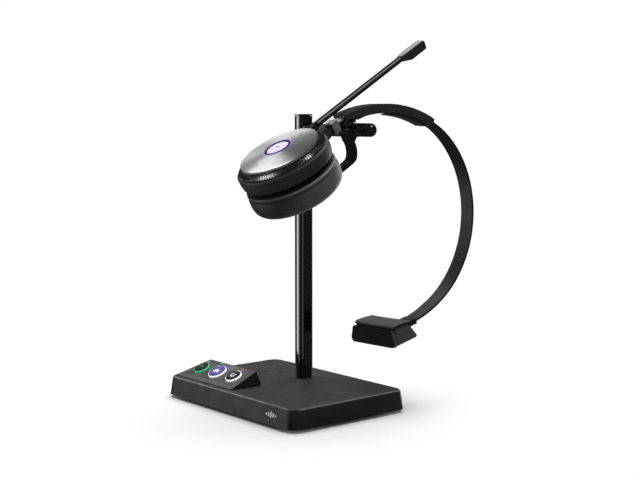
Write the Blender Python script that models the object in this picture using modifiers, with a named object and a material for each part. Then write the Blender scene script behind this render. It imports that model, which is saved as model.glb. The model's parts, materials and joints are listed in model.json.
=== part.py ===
"""Single-ear wireless office headset resting on its charging stand.

Metres, +Z up.  The origin is the centre of the stand's underside, +X is the
stand's right-hand side seen from the buttons, and -Y is its front.
"""
import math

import bmesh
import bpy
from mathutils import Matrix, Vector

# ---------------------------------------------------------------- driving dimensions
GAP = 0.0003                     # clearance between pieces that touch

BASE_WIDTH = 0.1533
BASE_DEPTH = 0.1045
BASE_CORNER = 0.008
BASE_TOP = 0.0165
BASE_WALL = 0.0022
BASE_DRAFT = 0.0015               # the skirt spreads this much towards its bottom
SKIRT_BOTTOM = 0.0023            # the skirt floats just above the table
MAT_INSET = 0.0065
COVER_THICKNESS = 0.0020
SCREW_X = 0.0642
SCREW_Y = 0.036

WEDGE_FRONT = -0.0476            # foot of the button slope
WEDGE_RIDGE = -0.0238
WEDGE_BACK = -0.0191
WEDGE_HEIGHT = 0.0108
WEDGE_RIGHT = -0.0021
WEDGE_LEFT_RIDGE = -0.061
WEDGE_LEFT_FOOT = -0.074
WEDGE_WALL = 0.0020
BUTTON_PITCH = 0.0207
BUTTON_MIDDLE_X = -0.0363
BUTTON_UP_SLOPE = 0.0138
BUTTON_RADII = {"phone": 0.0063, "meeting": 0.0071, "desktop": 0.0063}
BUTTON_RIM = 0.0010
BUTTON_TRAVEL = 0.0008

POST_X = -0.004
POST_Y = 0.0225
POST_WIDTH = 0.009
POST_DEPTH = 0.014
POST_CORNER = 0.004
POST_TOP = 0.2165

BAR_Z = 0.2052
BAR_RADIUS = 0.005
BAR_END = 0.0584
BAR_TIP = 0.074

HEADSET_X = 0.048                # middle plane of the headset
CUP_CENTRE_Y = -0.0415           # centre of the cup's outer disc rim
CUP_CENTRE_Z = 0.1918
CUP_TILT = math.radians(30.7)    # the cup's axis leans back towards the front

TILT_PIN_V = 0.0383              # cup hinge pin, in the cup's own frame
TILT_PIN_W = -0.0104

# the headband runs through three tangent arcs, given by heading (degrees above
# the horizontal, falling from the cup to the far pad) and radius
SLEEVE_ARC_Y = 0.0540
SLEEVE_ARC_Z = 0.11465
BAND_RADII = (0.1063, 0.0785, 0.0978)
BAND_BREAKS = (-28.5, -143.0)
SLEEVE_START = 22.1
SLEEVE_END = -25.2
SLEEVE_WIDTH = 0.0138
SLEEVE_OUTER = 0.0031
SLEEVE_INNER = -0.0037
BAND_WIDTH = 0.0122
BAND_THICKNESS = 0.0018
BAND_START = -14.0
BAND_END = -166.0
SLIDER_END = -9.0

PAD_PIN_Y = 0.0720
PAD_PIN_Z = 0.0566
PAD_LENGTH = 0.0544
PAD_TOP_SHARE = 0.93             # the pad is shorter along its cushion than along its foot
PAD_ROLL = math.radians(-2.8)
PAD_YAW = math.radians(-6.8)

ROUND = 48                       # sides of the large turned pieces
SMALL_ROUND = 24


# ---------------------------------------------------------------- scene and materials
def clear_scene():
    for thing in list(bpy.data.objects):
        bpy.data.objects.remove(thing, do_unlink=True)


def new_collection(name):
    group = bpy.data.collections.new(name)
    bpy.context.scene.collection.children.link(group)
    return group


clear_scene()
PARTS = new_collection("office_headset")
CUTTERS = new_collection("cutters")


def material(name, colour, roughness, metallic=0.0):
    made = bpy.data.materials.get(name)
    if made is None:
        made = bpy.data.materials.new(name)
        made.use_nodes = True
        shader = made.node_tree.nodes["Principled BSDF"]
        shader.inputs["Base Color"].default_value = (*colour, 1.0)
        shader.inputs["Roughness"].default_value = roughness
        shader.inputs["Metallic"].default_value = metallic
    return made


CHARCOAL = material("charcoal_plastic", (0.030, 0.030, 0.032), 0.55)
GLOSS_BLACK = material("gloss_black", (0.006, 0.006, 0.007), 0.12)
SATIN_GREY = material("satin_grey_plastic", (0.035, 0.035, 0.037), 0.45)
BLACK = material("black_plastic", (0.010, 0.010, 0.010), 0.50)
RUBBER = material("black_rubber", (0.015, 0.015, 0.015), 0.85)
LEATHERETTE = material("leatherette", (0.020, 0.020, 0.021), 0.60)
BRUSHED = material("brushed_silver", (0.42, 0.42, 0.44), 0.28, 1.0)
STEEL = material("spring_steel", (0.30, 0.30, 0.31), 0.35, 1.0)
GOLD = material("gold_contact", (0.85, 0.60, 0.25), 0.25, 1.0)
BOARD = material("circuit_board", (0.02, 0.12, 0.05), 0.50)
GREEN_LIGHT = material("green_light", (0.02, 0.45, 0.15), 0.35)
WHITE_LIGHT = material("white_light", (0.80, 0.80, 0.82), 0.35)
RED_LIGHT = material("red_light", (0.60, 0.02, 0.02), 0.35)
PURPLE = material("purple_light", (0.16, 0.07, 0.50), 0.35)
CLOTH = material("acoustic_cloth", (0.012, 0.012, 0.012), 0.95)
CELL = material("battery_wrap", (0.25, 0.27, 0.30), 0.45)


def part(name, mesh, mat, parent=None):
    thing = bpy.data.objects.new(name, mesh)
    PARTS.objects.link(thing)
    mesh.materials.clear()
    mesh.materials.append(mat)
    mesh.shade_smooth()
    mesh.set_sharp_from_angle(angle=math.radians(35))
    thing.parent = parent
    return thing


def frame(name, location, rotation=(0.0, 0.0, 0.0), parent=None):
    empty = bpy.data.objects.new(name, None)
    PARTS.objects.link(empty)
    empty.location = location
    empty.rotation_euler = rotation
    empty.parent = parent
    return empty


# ---------------------------------------------------------------- shapes
def arc(centre, radius, start, end, steps):
    """Points on a circle, angles in degrees."""
    angles = [math.radians(start + (end - start) * i / steps) for i in range(steps + 1)]
    return [(centre[0] + radius * math.cos(a), centre[1] + radius * math.sin(a)) for a in angles]


def rounded_rectangle(width, depth, radius, centre=(0.0, 0.0), steps=6):
    points = []
    for turn, (sx, sy) in enumerate(((1, 1), (-1, 1), (-1, -1), (1, -1))):
        corner = (centre[0] + sx * (width / 2 - radius), centre[1] + sy * (depth / 2 - radius))
        points += arc(corner, radius, 90 * turn, 90 * turn + 90, steps)
    return points


def plate_mesh(name, outline, low, high):
    """A flat outline in XY made solid between two heights."""
    curve = bpy.data.curves.new(name, "CURVE")
    curve.dimensions = "2D"
    curve.fill_mode = "BOTH"
    curve.extrude = (high - low) / 2
    spline = curve.splines.new("POLY")
    spline.points.add(len(outline) - 1)
    for point, (x, y) in zip(spline.points, outline):
        point.co = (x, y, 0.0, 1.0)
    spline.use_cyclic_u = True
    holder = bpy.data.objects.new(name, curve)
    CUTTERS.objects.link(holder)
    bpy.context.view_layer.update()
    mesh = bpy.data.meshes.new_from_object(holder.evaluated_get(bpy.context.evaluated_depsgraph_get()))
    bpy.data.objects.remove(holder, do_unlink=True)
    bpy.data.curves.remove(curve)
    shape = bmesh.new()
    shape.from_mesh(mesh)
    bmesh.ops.remove_doubles(shape, verts=shape.verts, dist=1e-6)
    bmesh.ops.translate(shape, verts=shape.verts, vec=(0.0, 0.0, (low + high) / 2))
    bmesh.ops.dissolve_limit(shape, angle_limit=math.radians(0.5), verts=shape.verts, edges=shape.edges)
    bmesh.ops.recalc_face_normals(shape, faces=shape.faces)
    shape.to_mesh(mesh)
    shape.free()
    return mesh


def plate(name, outline, low, high, mat, parent=None):
    return part(name, plate_mesh(name, outline, low, high), mat, parent)


SIDE_VIEW = Matrix(((0, 0, 1, 0), (1, 0, 0, 0), (0, 1, 0, 0), (0, 0, 0, 1)))


def side_mesh(name, outline, left, right):
    """An outline drawn in the YZ plane and made solid between two X positions."""
    mesh = plate_mesh(name, outline, left, right)
    mesh.transform(SIDE_VIEW)
    return mesh


def side_plate(name, outline, left, right, mat, parent=None):
    return part(name, side_mesh(name, outline, left, right), mat, parent)


def box_mesh(name, low, high):
    shape = bmesh.new()
    bmesh.ops.create_cube(shape, size=1.0)
    size = Vector(high) - Vector(low)
    middle = (Vector(high) + Vector(low)) / 2
    bmesh.ops.scale(shape, vec=size, verts=shape.verts)
    bmesh.ops.translate(shape, vec=middle, verts=shape.verts)
    mesh = bpy.data.meshes.new(name)
    shape.to_mesh(mesh)
    shape.free()
    return mesh


def box(name, low, high, mat, parent=None):
    return part(name, box_mesh(name, low, high), mat, parent)


AXIS_TURN = {
    "X": Matrix.Rotation(math.pi / 2, 4, "Y"),
    "Y": Matrix.Rotation(-math.pi / 2, 4, "X"),
    "Z": Matrix.Identity(4),
}


def rod_mesh(name, radius, start, length, axis="Z", sides=SMALL_ROUND):
    """A cylinder that starts at a point and runs along +axis."""
    shape = bmesh.new()
    bmesh.ops.create_cone(shape, cap_ends=True, segments=sides, radius1=radius, radius2=radius, depth=length)
    bmesh.ops.translate(shape, vec=(0.0, 0.0, length / 2), verts=shape.verts)
    bmesh.ops.transform(shape, matrix=Matrix.Translation(start) @ AXIS_TURN[axis], verts=shape.verts)
    mesh = bpy.data.meshes.new(name)
    shape.to_mesh(mesh)
    shape.free()
    return mesh


def rod(name, radius, start, length, mat, axis="Z", parent=None, sides=SMALL_ROUND):
    return part(name, rod_mesh(name, radius, start, length, axis, sides), mat, parent)


def turned(name, profile, mat, parent=None, sides=ROUND, ring=False):
    """A profile of (radius, height) points turned about Z, outer side running down."""
    mesh = bpy.data.meshes.new(name)
    count = len(profile)
    edges = [(i, i + 1) for i in range(count - 1)]
    if ring:
        edges.append((count - 1, 0))
    mesh.from_pydata([(radius, 0.0, height) for radius, height in profile], edges, [])
    thing = part(name, mesh, mat, parent)
    screw = thing.modifiers.new("turn", "SCREW")
    screw.steps = sides
    screw.render_steps = sides
    screw.use_merge_vertices = True
    screw.merge_threshold = 1e-6
    screw.use_smooth_shade = True
    return thing


def bevel(thing, width, segments=2, angle=40):
    rounding = thing.modifiers.new("rounded_edges", "BEVEL")
    rounding.width = width
    rounding.segments = segments
    rounding.limit_method = "ANGLE"
    rounding.angle_limit = math.radians(angle)
    return thing


def round_top_edges(thing, height, width, segments=3):
    """Rounds only the edges that lie at one height."""
    shape = bmesh.new()
    shape.from_mesh(thing.data)
    rim = [e for e in shape.edges if all(abs(v.co.z - height) < 1e-6 for v in e.verts)]
    bmesh.ops.bevel(shape, geom=rim, offset=width, segments=segments, profile=0.5, affect="EDGES")
    shape.to_mesh(thing.data)
    shape.free()
    thing.data.shade_smooth()
    thing.data.set_sharp_from_angle(angle=math.radians(35))


def merged(meshes):
    """Several meshes in one, kept as separate lumps."""
    shape = bmesh.new()
    for mesh in meshes:
        shape.from_mesh(mesh)
        bpy.data.meshes.remove(mesh)
    result = bpy.data.meshes.new("merged")
    shape.to_mesh(result)
    shape.free()
    return result


def shaped(thing, mesh, operation="DIFFERENCE", parent=None):
    """Cuts a mesh out of a part, or joins it on; the mesh uses the part's frame."""
    tool = bpy.data.objects.new(thing.name + "_" + operation.lower(), mesh)
    CUTTERS.objects.link(tool)
    tool.parent = parent or thing.parent
    tool.hide_render = True
    tool.display_type = "WIRE"
    step = thing.modifiers.new(operation.lower(), "BOOLEAN")
    step.operation = operation
    step.object = tool
    return thing


# ---------------------------------------------------------------- stand: base
def screw_places():
    return [(sx * SCREW_X, sy * SCREW_Y) for sx in (-1, 1) for sy in (-1, 1)]


def grille_places(centre, rings, spacing):
    places = [centre]
    for ring in range(1, rings + 1):
        for i in range(6 * ring):
            a = 2 * math.pi * i / (6 * ring)
            places.append((centre[0] + ring * spacing * math.cos(a), centre[1] + ring * spacing * math.sin(a)))
    return places


RINGER = (-0.050, 0.020)
RINGER_RADIUS = 0.011
SOCKETS = {"pc_usb_socket": -0.046, "phone_usb_socket": -0.030}
SOCKET_LOW = 0.0079
SOCKET_HIGH = 0.0112
SOCKET_HALF = 0.0046
BACK = BASE_DEPTH / 2


def build_base_shell():
    outline = rounded_rectangle(BASE_WIDTH, BASE_DEPTH, BASE_CORNER)
    shell = plate("base_top_shell", outline, SKIRT_BOTTOM, BASE_TOP, CHARCOAL)
    round_top_edges(shell, BASE_TOP, 0.0015)
    for vertex in shell.data.vertices:
        drop = (BASE_TOP - vertex.co.z) / (BASE_TOP - SKIRT_BOTTOM)
        vertex.co.x += math.copysign(BASE_DRAFT * drop, vertex.co.x)
        vertex.co.y += math.copysign(BASE_DRAFT * drop, vertex.co.y)
    ceiling = BASE_TOP - BASE_WALL
    room = rounded_rectangle(BASE_WIDTH - 2 * BASE_WALL, BASE_DEPTH - 2 * BASE_WALL, BASE_CORNER - BASE_WALL)
    shaped(shell, plate_mesh("room", room, SKIRT_BOTTOM - 0.001, ceiling))
    bosses = [rod_mesh("boss", 0.0032, (x, y, 0.0051), ceiling + 0.001 - 0.0051, sides=16)
              for x, y in screw_places()]
    shaped(shell, merged(bosses), "UNION")
    bores = [rod_mesh("bore", 0.0016, (x, y, 0.0045), 0.0070, sides=12) for x, y in screw_places()]
    post_hole = rounded_rectangle(POST_WIDTH + 2 * GAP, POST_DEPTH + 2 * GAP, POST_CORNER + GAP,
                                  (POST_X, POST_Y))
    bores.append(plate_mesh("post_hole", post_hole, ceiling - 0.001, BASE_TOP + 0.001))
    bores.append(box_mesh("wedge_window", (-0.0607, -0.042, ceiling - 0.001), (-0.006, -0.023, BASE_TOP + 0.001)))
    bores += [rod_mesh("sound_hole", 0.0007, (x, y, ceiling - 0.001), 0.005, sides=6)
              for x, y in grille_places(RINGER, 3, 0.0030)]
    for x in SOCKETS.values():
        bores.append(box_mesh("socket_window",
                              (x - SOCKET_HALF - GAP, BACK - 0.004, SOCKET_LOW - GAP),
                              (x + SOCKET_HALF + GAP, BACK + 0.003, SOCKET_HIGH + GAP)))
    shaped(shell, merged(bores))


def build_base_underside():
    cover_low = SKIRT_BOTTOM + GAP
    cover_high = cover_low + COVER_THICKNESS
    side_gap = BASE_WALL + GAP
    outline = rounded_rectangle(BASE_WIDTH - 2 * side_gap, BASE_DEPTH - 2 * side_gap, BASE_CORNER - side_gap)
    cover = plate("base_bottom_cover", outline, cover_low, cover_high, BLACK)
    shaped(cover, merged([rod_mesh("head_recess", 0.0031, (x, y, 0.0), cover_low + 0.0013, sides=16)
                          for x, y in screw_places()]))
    shaped(cover, merged([rod_mesh("shank_hole", 0.0018, (x, y, cover_low + 0.0005), 0.004, sides=12)
                          for x, y in screw_places()]))
    mat_outline = rounded_rectangle(BASE_WIDTH - 2 * MAT_INSET, BASE_DEPTH - 2 * MAT_INSET, 0.006)
    plate("anti_slip_mat", mat_outline, 0.0, SKIRT_BOTTOM, RUBBER)
    for number, (x, y) in enumerate(screw_places(), 1):
        profile = [(0.0, 0.0095), (0.0013, 0.0092), (0.0013, cover_low + 0.0010),
                   (0.0026, cover_low + 0.0010), (0.0026, cover_low + 0.0002), (0.0, cover_low + 0.0002)]
        screw = turned("base_screw_%d" % number, profile, STEEL, sides=12)
        screw.location = (x, y, 0.0)


def build_base_insides():
    box("ballast_plate", (0.010, -0.040, 0.0050), (0.0575, 0.040, 0.0095), STEEL)
    box("base_circuit_board", (-0.0575, -0.040, 0.0060), (-0.018, 0.0430, 0.0076), BOARD)
    rod("ringer_speaker", RINGER_RADIUS, (*RINGER, 0.0085), 0.0053, BLACK, sides=32)
    for name, x in SOCKETS.items():
        socket = box(name, (x - SOCKET_HALF, BACK - 0.0085, SOCKET_LOW),
                     (x + SOCKET_HALF, BACK - 0.0005, SOCKET_HIGH), STEEL)
        shaped(socket, box_mesh("slot", (x - SOCKET_HALF + 0.0005, BACK - 0.0065, SOCKET_LOW + 0.0004),
                                (x + SOCKET_HALF - 0.0005, BACK + 0.001, SOCKET_HIGH - 0.0004)))


# ---------------------------------------------------------------- stand: call buttons
SLOPE = math.atan2(WEDGE_HEIGHT, WEDGE_RIDGE - WEDGE_FRONT)
SLOPE_LENGTH = math.hypot(WEDGE_HEIGHT, WEDGE_RIDGE - WEDGE_FRONT)
WEDGE_FOOT = BASE_TOP + GAP
LIGHT_UP_SLOPE = 0.0243
LIGHTS = {"phone_status_light": (-0.0440, GREEN_LIGHT), "mute_status_light": (-0.0195, RED_LIGHT)}


def wedge_section(wall):
    """The wedge's triangle moved inwards by a wall thickness, its foot left open."""
    rise = (WEDGE_RIDGE - WEDGE_FRONT) / WEDGE_HEIGHT
    lean = (WEDGE_BACK - WEDGE_RIDGE) / WEDGE_HEIGHT
    front = WEDGE_FRONT + wall / math.sin(SLOPE)
    back = WEDGE_BACK - wall * math.hypot(1.0, lean)
    height = (back - front) / (rise + lean)
    return front, front + rise * height, back, height


def build_wedge():
    front, ridge, back, height = wedge_section(0.0)
    outline = [(front, WEDGE_FOOT), (back, WEDGE_FOOT), (ridge, WEDGE_FOOT + height)]
    wedge = side_plate("button_wedge_housing", outline, WEDGE_LEFT_FOOT - 0.002, WEDGE_RIGHT, CHARCOAL)
    drop = math.atan2(height, WEDGE_LEFT_RIDGE - WEDGE_LEFT_FOOT)
    slice_mesh = box_mesh("left_slice", (-0.03, -0.10, 0.0), (0.03, 0.10, 0.03))
    slice_mesh.transform(Matrix.Translation((WEDGE_LEFT_FOOT, 0.0, WEDGE_FOOT)) @ Matrix.Rotation(-drop, 4, "Y"))
    shaped(wedge, slice_mesh)
    bevel(wedge, 0.0006, 2, 30)
    front, ridge, back, height = wedge_section(WEDGE_WALL)
    inner = [(front - 0.002 * (ridge - front) / height, WEDGE_FOOT - 0.002),
             (back + 0.002 * (back - ridge) / height, WEDGE_FOOT - 0.002), (ridge, WEDGE_FOOT + height)]
    shaped(wedge, side_mesh("inside", inner, -0.0640, WEDGE_RIGHT - WEDGE_WALL))
    return wedge


def build_call_buttons(wedge):
    slope = frame("button_slope", (0.0, WEDGE_FRONT, WEDGE_FOOT), (SLOPE, 0.0, 0.0))
    holes = []
    for place, (label, radius) in enumerate(BUTTON_RADII.items()):
        x = BUTTON_MIDDLE_X + (place - 1) * BUTTON_PITCH
        glow = GREEN_LIGHT if label == "phone" else WHITE_LIGHT
        rim = [(radius - BUTTON_RIM, 0.0015), (radius - 0.0003, 0.0015), (radius, 0.0012), (radius, -0.0030),
               (radius - BUTTON_RIM, -0.0030)]
        ring = turned(label + "_light_ring", rim, glow, slope, sides=32, ring=True)
        inner = radius - BUTTON_RIM - GAP
        face = [(0.0, 0.0020), (inner - 0.0004, 0.0019), (inner, 0.0015), (inner, -0.0012), (0.0017, -0.0012),
                (0.0017, -0.0026), (0.0, -0.0026)]
        cap = turned(label + "_call_button", face, PURPLE if label == "meeting" else BLACK, slope, sides=32)
        for piece in (ring, cap):
            piece.location = (x, BUTTON_UP_SLOPE, 0.0)
        holes.append(rod_mesh("hole", radius + GAP, (x, BUTTON_UP_SLOPE, -0.006), 0.012, sides=32))
    for name, (x, glow) in LIGHTS.items():
        box(name, (x - 0.0012, LIGHT_UP_SLOPE - 0.0006, -0.0015), (x + 0.0012, LIGHT_UP_SLOPE + 0.0006, 0.0001),
            glow, slope)
        holes.append(box_mesh("light_slot", (x - 0.0015, LIGHT_UP_SLOPE - 0.0009, -0.004),
                              (x + 0.0015, LIGHT_UP_SLOPE + 0.0009, 0.002)))
    shaped(wedge, merged(holes), parent=slope)
    left = BUTTON_MIDDLE_X - BUTTON_PITCH
    right = BUTTON_MIDDLE_X + BUTTON_PITCH
    board = box("button_board", (left - 0.0028, 0.0095, -0.0062), (right + 0.0060, 0.0190, -0.0050), BOARD, slope)
    switches = [box_mesh("switch", (x - 0.0022, BUTTON_UP_SLOPE - 0.0022, -0.0054),
                         (x + 0.0022, BUTTON_UP_SLOPE + 0.0022, -0.0036))
                for x in (left, BUTTON_MIDDLE_X, right)]
    shaped(board, merged(switches), "UNION")


# ---------------------------------------------------------------- stand: post, bar, cradle
def build_post():
    place = (POST_X, POST_Y)
    outer = rounded_rectangle(POST_WIDTH, POST_DEPTH, POST_CORNER, place)
    inner = rounded_rectangle(POST_WIDTH - 0.003, POST_DEPTH - 0.003, POST_CORNER - 0.0015, place)
    plug = rounded_rectangle(POST_WIDTH - 0.0036, POST_DEPTH - 0.0036, POST_CORNER - 0.0018, place)
    foot_low = SKIRT_BOTTOM + GAP + COVER_THICKNESS + GAP
    post = plate("post_tube", outer, foot_low + 0.0024, POST_TOP - 0.0015, GLOSS_BLACK)
    shaped(post, plate_mesh("bore", inner, 0.0, POST_TOP + 0.01))
    shaped(post, rod_mesh("pin_hole", 0.0028, (POST_X, POST_Y, BAR_Z), 0.010, "X"))
    cap = plate("post_top_cap", outer, POST_TOP - 0.0012, POST_TOP, GLOSS_BLACK)
    bevel(cap, 0.0002, 1)
    shaped(cap, plate_mesh("plug", plug, POST_TOP - 0.0045, POST_TOP - 0.0008), "UNION")
    block = rounded_rectangle(0.022, 0.027, 0.002, place)
    foot = plate("post_foot", block, foot_low, BASE_TOP - BASE_WALL - GAP, BLACK)
    well = rounded_rectangle(POST_WIDTH + 2 * GAP, POST_DEPTH + 2 * GAP, POST_CORNER + GAP, place)
    shaped(foot, plate_mesh("well", well, foot_low + 0.0021, BASE_TOP))
    shaped(foot, plate_mesh("spigot", plug, foot_low + 0.0010, 0.030), "UNION")


def build_bar():
    start = POST_X + POST_WIDTH / 2 + GAP
    bar = rod("hanger_bar", BAR_RADIUS, (start, POST_Y, BAR_Z), BAR_END - start, GLOSS_BLACK, "X", sides=32)
    bores = [rod_mesh("pin_bore", 0.0028, (start - 0.001, POST_Y, BAR_Z), 0.0155, "X"),
             rod_mesh("cap_bore", 0.0028, (BAR_END - 0.0085, POST_Y, BAR_Z), 0.010, "X")]
    reach = Matrix.Rotation(math.radians(30), 4, "X")
    for number, x in enumerate((0.045, 0.051), 1):
        place = Matrix.Translation((x, POST_Y, BAR_Z)) @ reach
        bore = rod_mesh("contact_bore", 0.0012, (0.0, 0.0, 0.0031), 0.004, sides=12)
        bore.transform(place)
        bores.append(bore)
        pin = rod("charging_pin_%d" % number, 0.0009, (0.0, 0.0, 0.0034), 0.0018, GOLD, sides=12)
        pin.data.transform(place)
    shaped(bar, merged(bores))
    pin_start = POST_X - POST_WIDTH / 2 + 0.0015 + GAP
    rod("bar_pin", 0.0025, (pin_start, POST_Y, BAR_Z), start + 0.0142 - pin_start, STEEL, "X")
    face = BAR_END + GAP
    radius = BAR_RADIUS - 0.0003
    nose = 0.0028
    dome = [(radius - nose + nose * math.sin(math.radians(a)), BAR_TIP - nose + nose * math.cos(math.radians(a)))
            for a in range(0, 91, 18)]
    profile = [(0.0, BAR_TIP)] + dome + [(radius, face), (0.0025, face), (0.0025, face - 0.0080),
                                         (0.0, face - 0.0080)]
    cap = turned("bar_end_cap", profile, GLOSS_BLACK, sides=32)
    cap.rotation_euler = (0.0, math.pi / 2, 0.0)
    cap.location = (0.0, POST_Y, BAR_Z)


CRADLE_THICKNESS = 0.0015
CRADLE_BEND = (0.0113, 0.1885)
CRADLE_BEND_RADIUS = 0.0130
CRADLE_HALF_WIDTH = 0.0056
CRADLE_REST = 0.0402             # depth of the tongue's top below the cup's outer rim
CRADLE_TIP = 0.0255              # how far up the cup's face the tongue reaches


def cup_to_stand(v, w):
    """(Y, Z) of a point given in the cup's frame."""
    return (CUP_CENTRE_Y + v * math.cos(CUP_TILT) - w * math.sin(CUP_TILT),
            CUP_CENTRE_Z + v * math.sin(CUP_TILT) + w * math.cos(CUP_TILT))


def build_cradle():
    left = HEADSET_X - CRADLE_HALF_WIDTH
    right = HEADSET_X + CRADLE_HALF_WIDTH
    inner = CRADLE_BEND_RADIUS
    outer = CRADLE_BEND_RADIUS + CRADLE_THICKNESS
    hug = BAR_RADIUS + GAP
    bar = (POST_Y, BAR_Z)
    low = -CRADLE_REST
    # hugging edge under the bar, down the outside of the bend, along the tongue and back
    outline = arc(bar, hug, 222, 312, 8)
    outline += arc(CRADLE_BEND, outer, 34, -20, 6)
    outline += [cup_to_stand(0.0490, low - CRADLE_THICKNESS), cup_to_stand(CRADLE_TIP, low - CRADLE_THICKNESS),
                cup_to_stand(CRADLE_TIP, low), cup_to_stand(0.0490, low)]
    outline += arc(CRADLE_BEND, inner, -18, 44, 7)
    arm = side_plate("cradle_arm", outline, left, right, GLOSS_BLACK)
    bevel(arm, 0.0003, 1, 50)
    pad = [cup_to_stand(v, w) for v, w in ((0.0440, low + GAP), (CRADLE_TIP + 0.0010, low + GAP),
                                          (CRADLE_TIP + 0.0010, low + 0.0010), (0.0440, low + 0.0010))]
    side_plate("cradle_pad", pad, left + 0.001, right - 0.001, RUBBER)


# ---------------------------------------------------------------- headset: band
def band_arc(heading):
    """Centre and radius of the arc that holds a heading."""
    centre = (SLEEVE_ARC_Y, SLEEVE_ARC_Z)
    radius = BAND_RADII[0]
    for limit, following in zip(BAND_BREAKS, BAND_RADII[1:]):
        if heading < limit:
            a = math.radians(limit)
            shift = radius - following
            centre = (centre[0] - shift * math.sin(a), centre[1] + shift * math.cos(a))
            radius = following
    return centre, radius


def band_point(heading, offset=0.0):
    centre, radius = band_arc(heading)
    a = math.radians(heading)
    return (centre[0] - (radius + offset) * math.sin(a), centre[1] + (radius + offset) * math.cos(a))


def band_strip(start, end, low, high, step=5.0):
    """Outline between two headings and two offsets from the band's middle line."""
    count = max(1, round(abs(end - start) / step))
    headings = [start + (end - start) * i / count for i in range(count + 1)]
    return [band_point(h, high) for h in headings] + [band_point(h, low) for h in reversed(headings)]


def shifted(outline, origin):
    return [(y - origin[0], z - origin[1]) for y, z in outline]


def build_sleeve(headset):
    half = SLEEVE_WIDTH / 2
    sleeve = side_plate("sleeve_shell", band_strip(SLEEVE_START, SLEEVE_END, SLEEVE_INNER, SLEEVE_OUTER, 4.0),
                        -half, half, SATIN_GREY, headset)
    tab = [(0.0129, 0.2074), (0.0205, 0.2074), (0.0236, 0.2100), (0.0236, 0.2118), (0.0340, 0.2155),
           (0.0340, 0.2185), band_point(SLEEVE_START, 0.0)]
    shaped(sleeve, side_mesh("tab", tab, -half, half), "UNION")
    bevel(sleeve, 0.0005, 1, 50)
    seat = rod_mesh("seat", BAR_RADIUS + 0.0029, (-0.02, POST_Y, BAR_Z), 0.04, "X", sides=40)
    channel = side_mesh("channel", band_strip(SLEEVE_START + 3, SLEEVE_END - 3, -0.0012, 0.0012, 4.0),
                        -BAND_WIDTH / 2 - GAP, BAND_WIDTH / 2 + GAP)
    shaped(sleeve, seat)
    shaped(sleeve, channel)

    gland_outline = band_strip(SLEEVE_END - 0.17, SLEEVE_END - 0.90, SLEEVE_INNER + 0.0004, SLEEVE_OUTER - 0.0004)
    gland = side_plate("band_gland", gland_outline, -half, half, SATIN_GREY, headset)
    shaped(gland, side_mesh("slit", band_strip(SLEEVE_END + 3, SLEEVE_END - 3, -0.0012, 0.0012, 3.0),
                            -BAND_WIDTH / 2 - GAP, BAND_WIDTH / 2 + GAP))

    liner_outline = band_strip(-2.5, SLEEVE_END + 1.5, SLEEVE_INNER - 0.0017, SLEEVE_INNER - GAP, 4.0)
    liner = side_plate("head_liner", liner_outline, -half + 0.0006, half - 0.0006, LEATHERETTE, headset)
    bevel(liner, 0.0006, 2, 50)

    saddle = arc((POST_Y, BAR_Z), BAR_RADIUS + 0.0026, 80, 158, 8)
    saddle += arc((POST_Y, BAR_Z), BAR_RADIUS + GAP, 158, 80, 8)
    side_plate("charging_saddle", saddle, -half + 0.0008, half - 0.0008, BLACK, headset)

    strip = band_strip(BAND_START, BAND_END, -BAND_THICKNESS / 2, BAND_THICKNESS / 2, 4.5)
    side_plate("spring_band", strip, -BAND_WIDTH / 2, BAND_WIDTH / 2, SATIN_GREY, headset)


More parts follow.
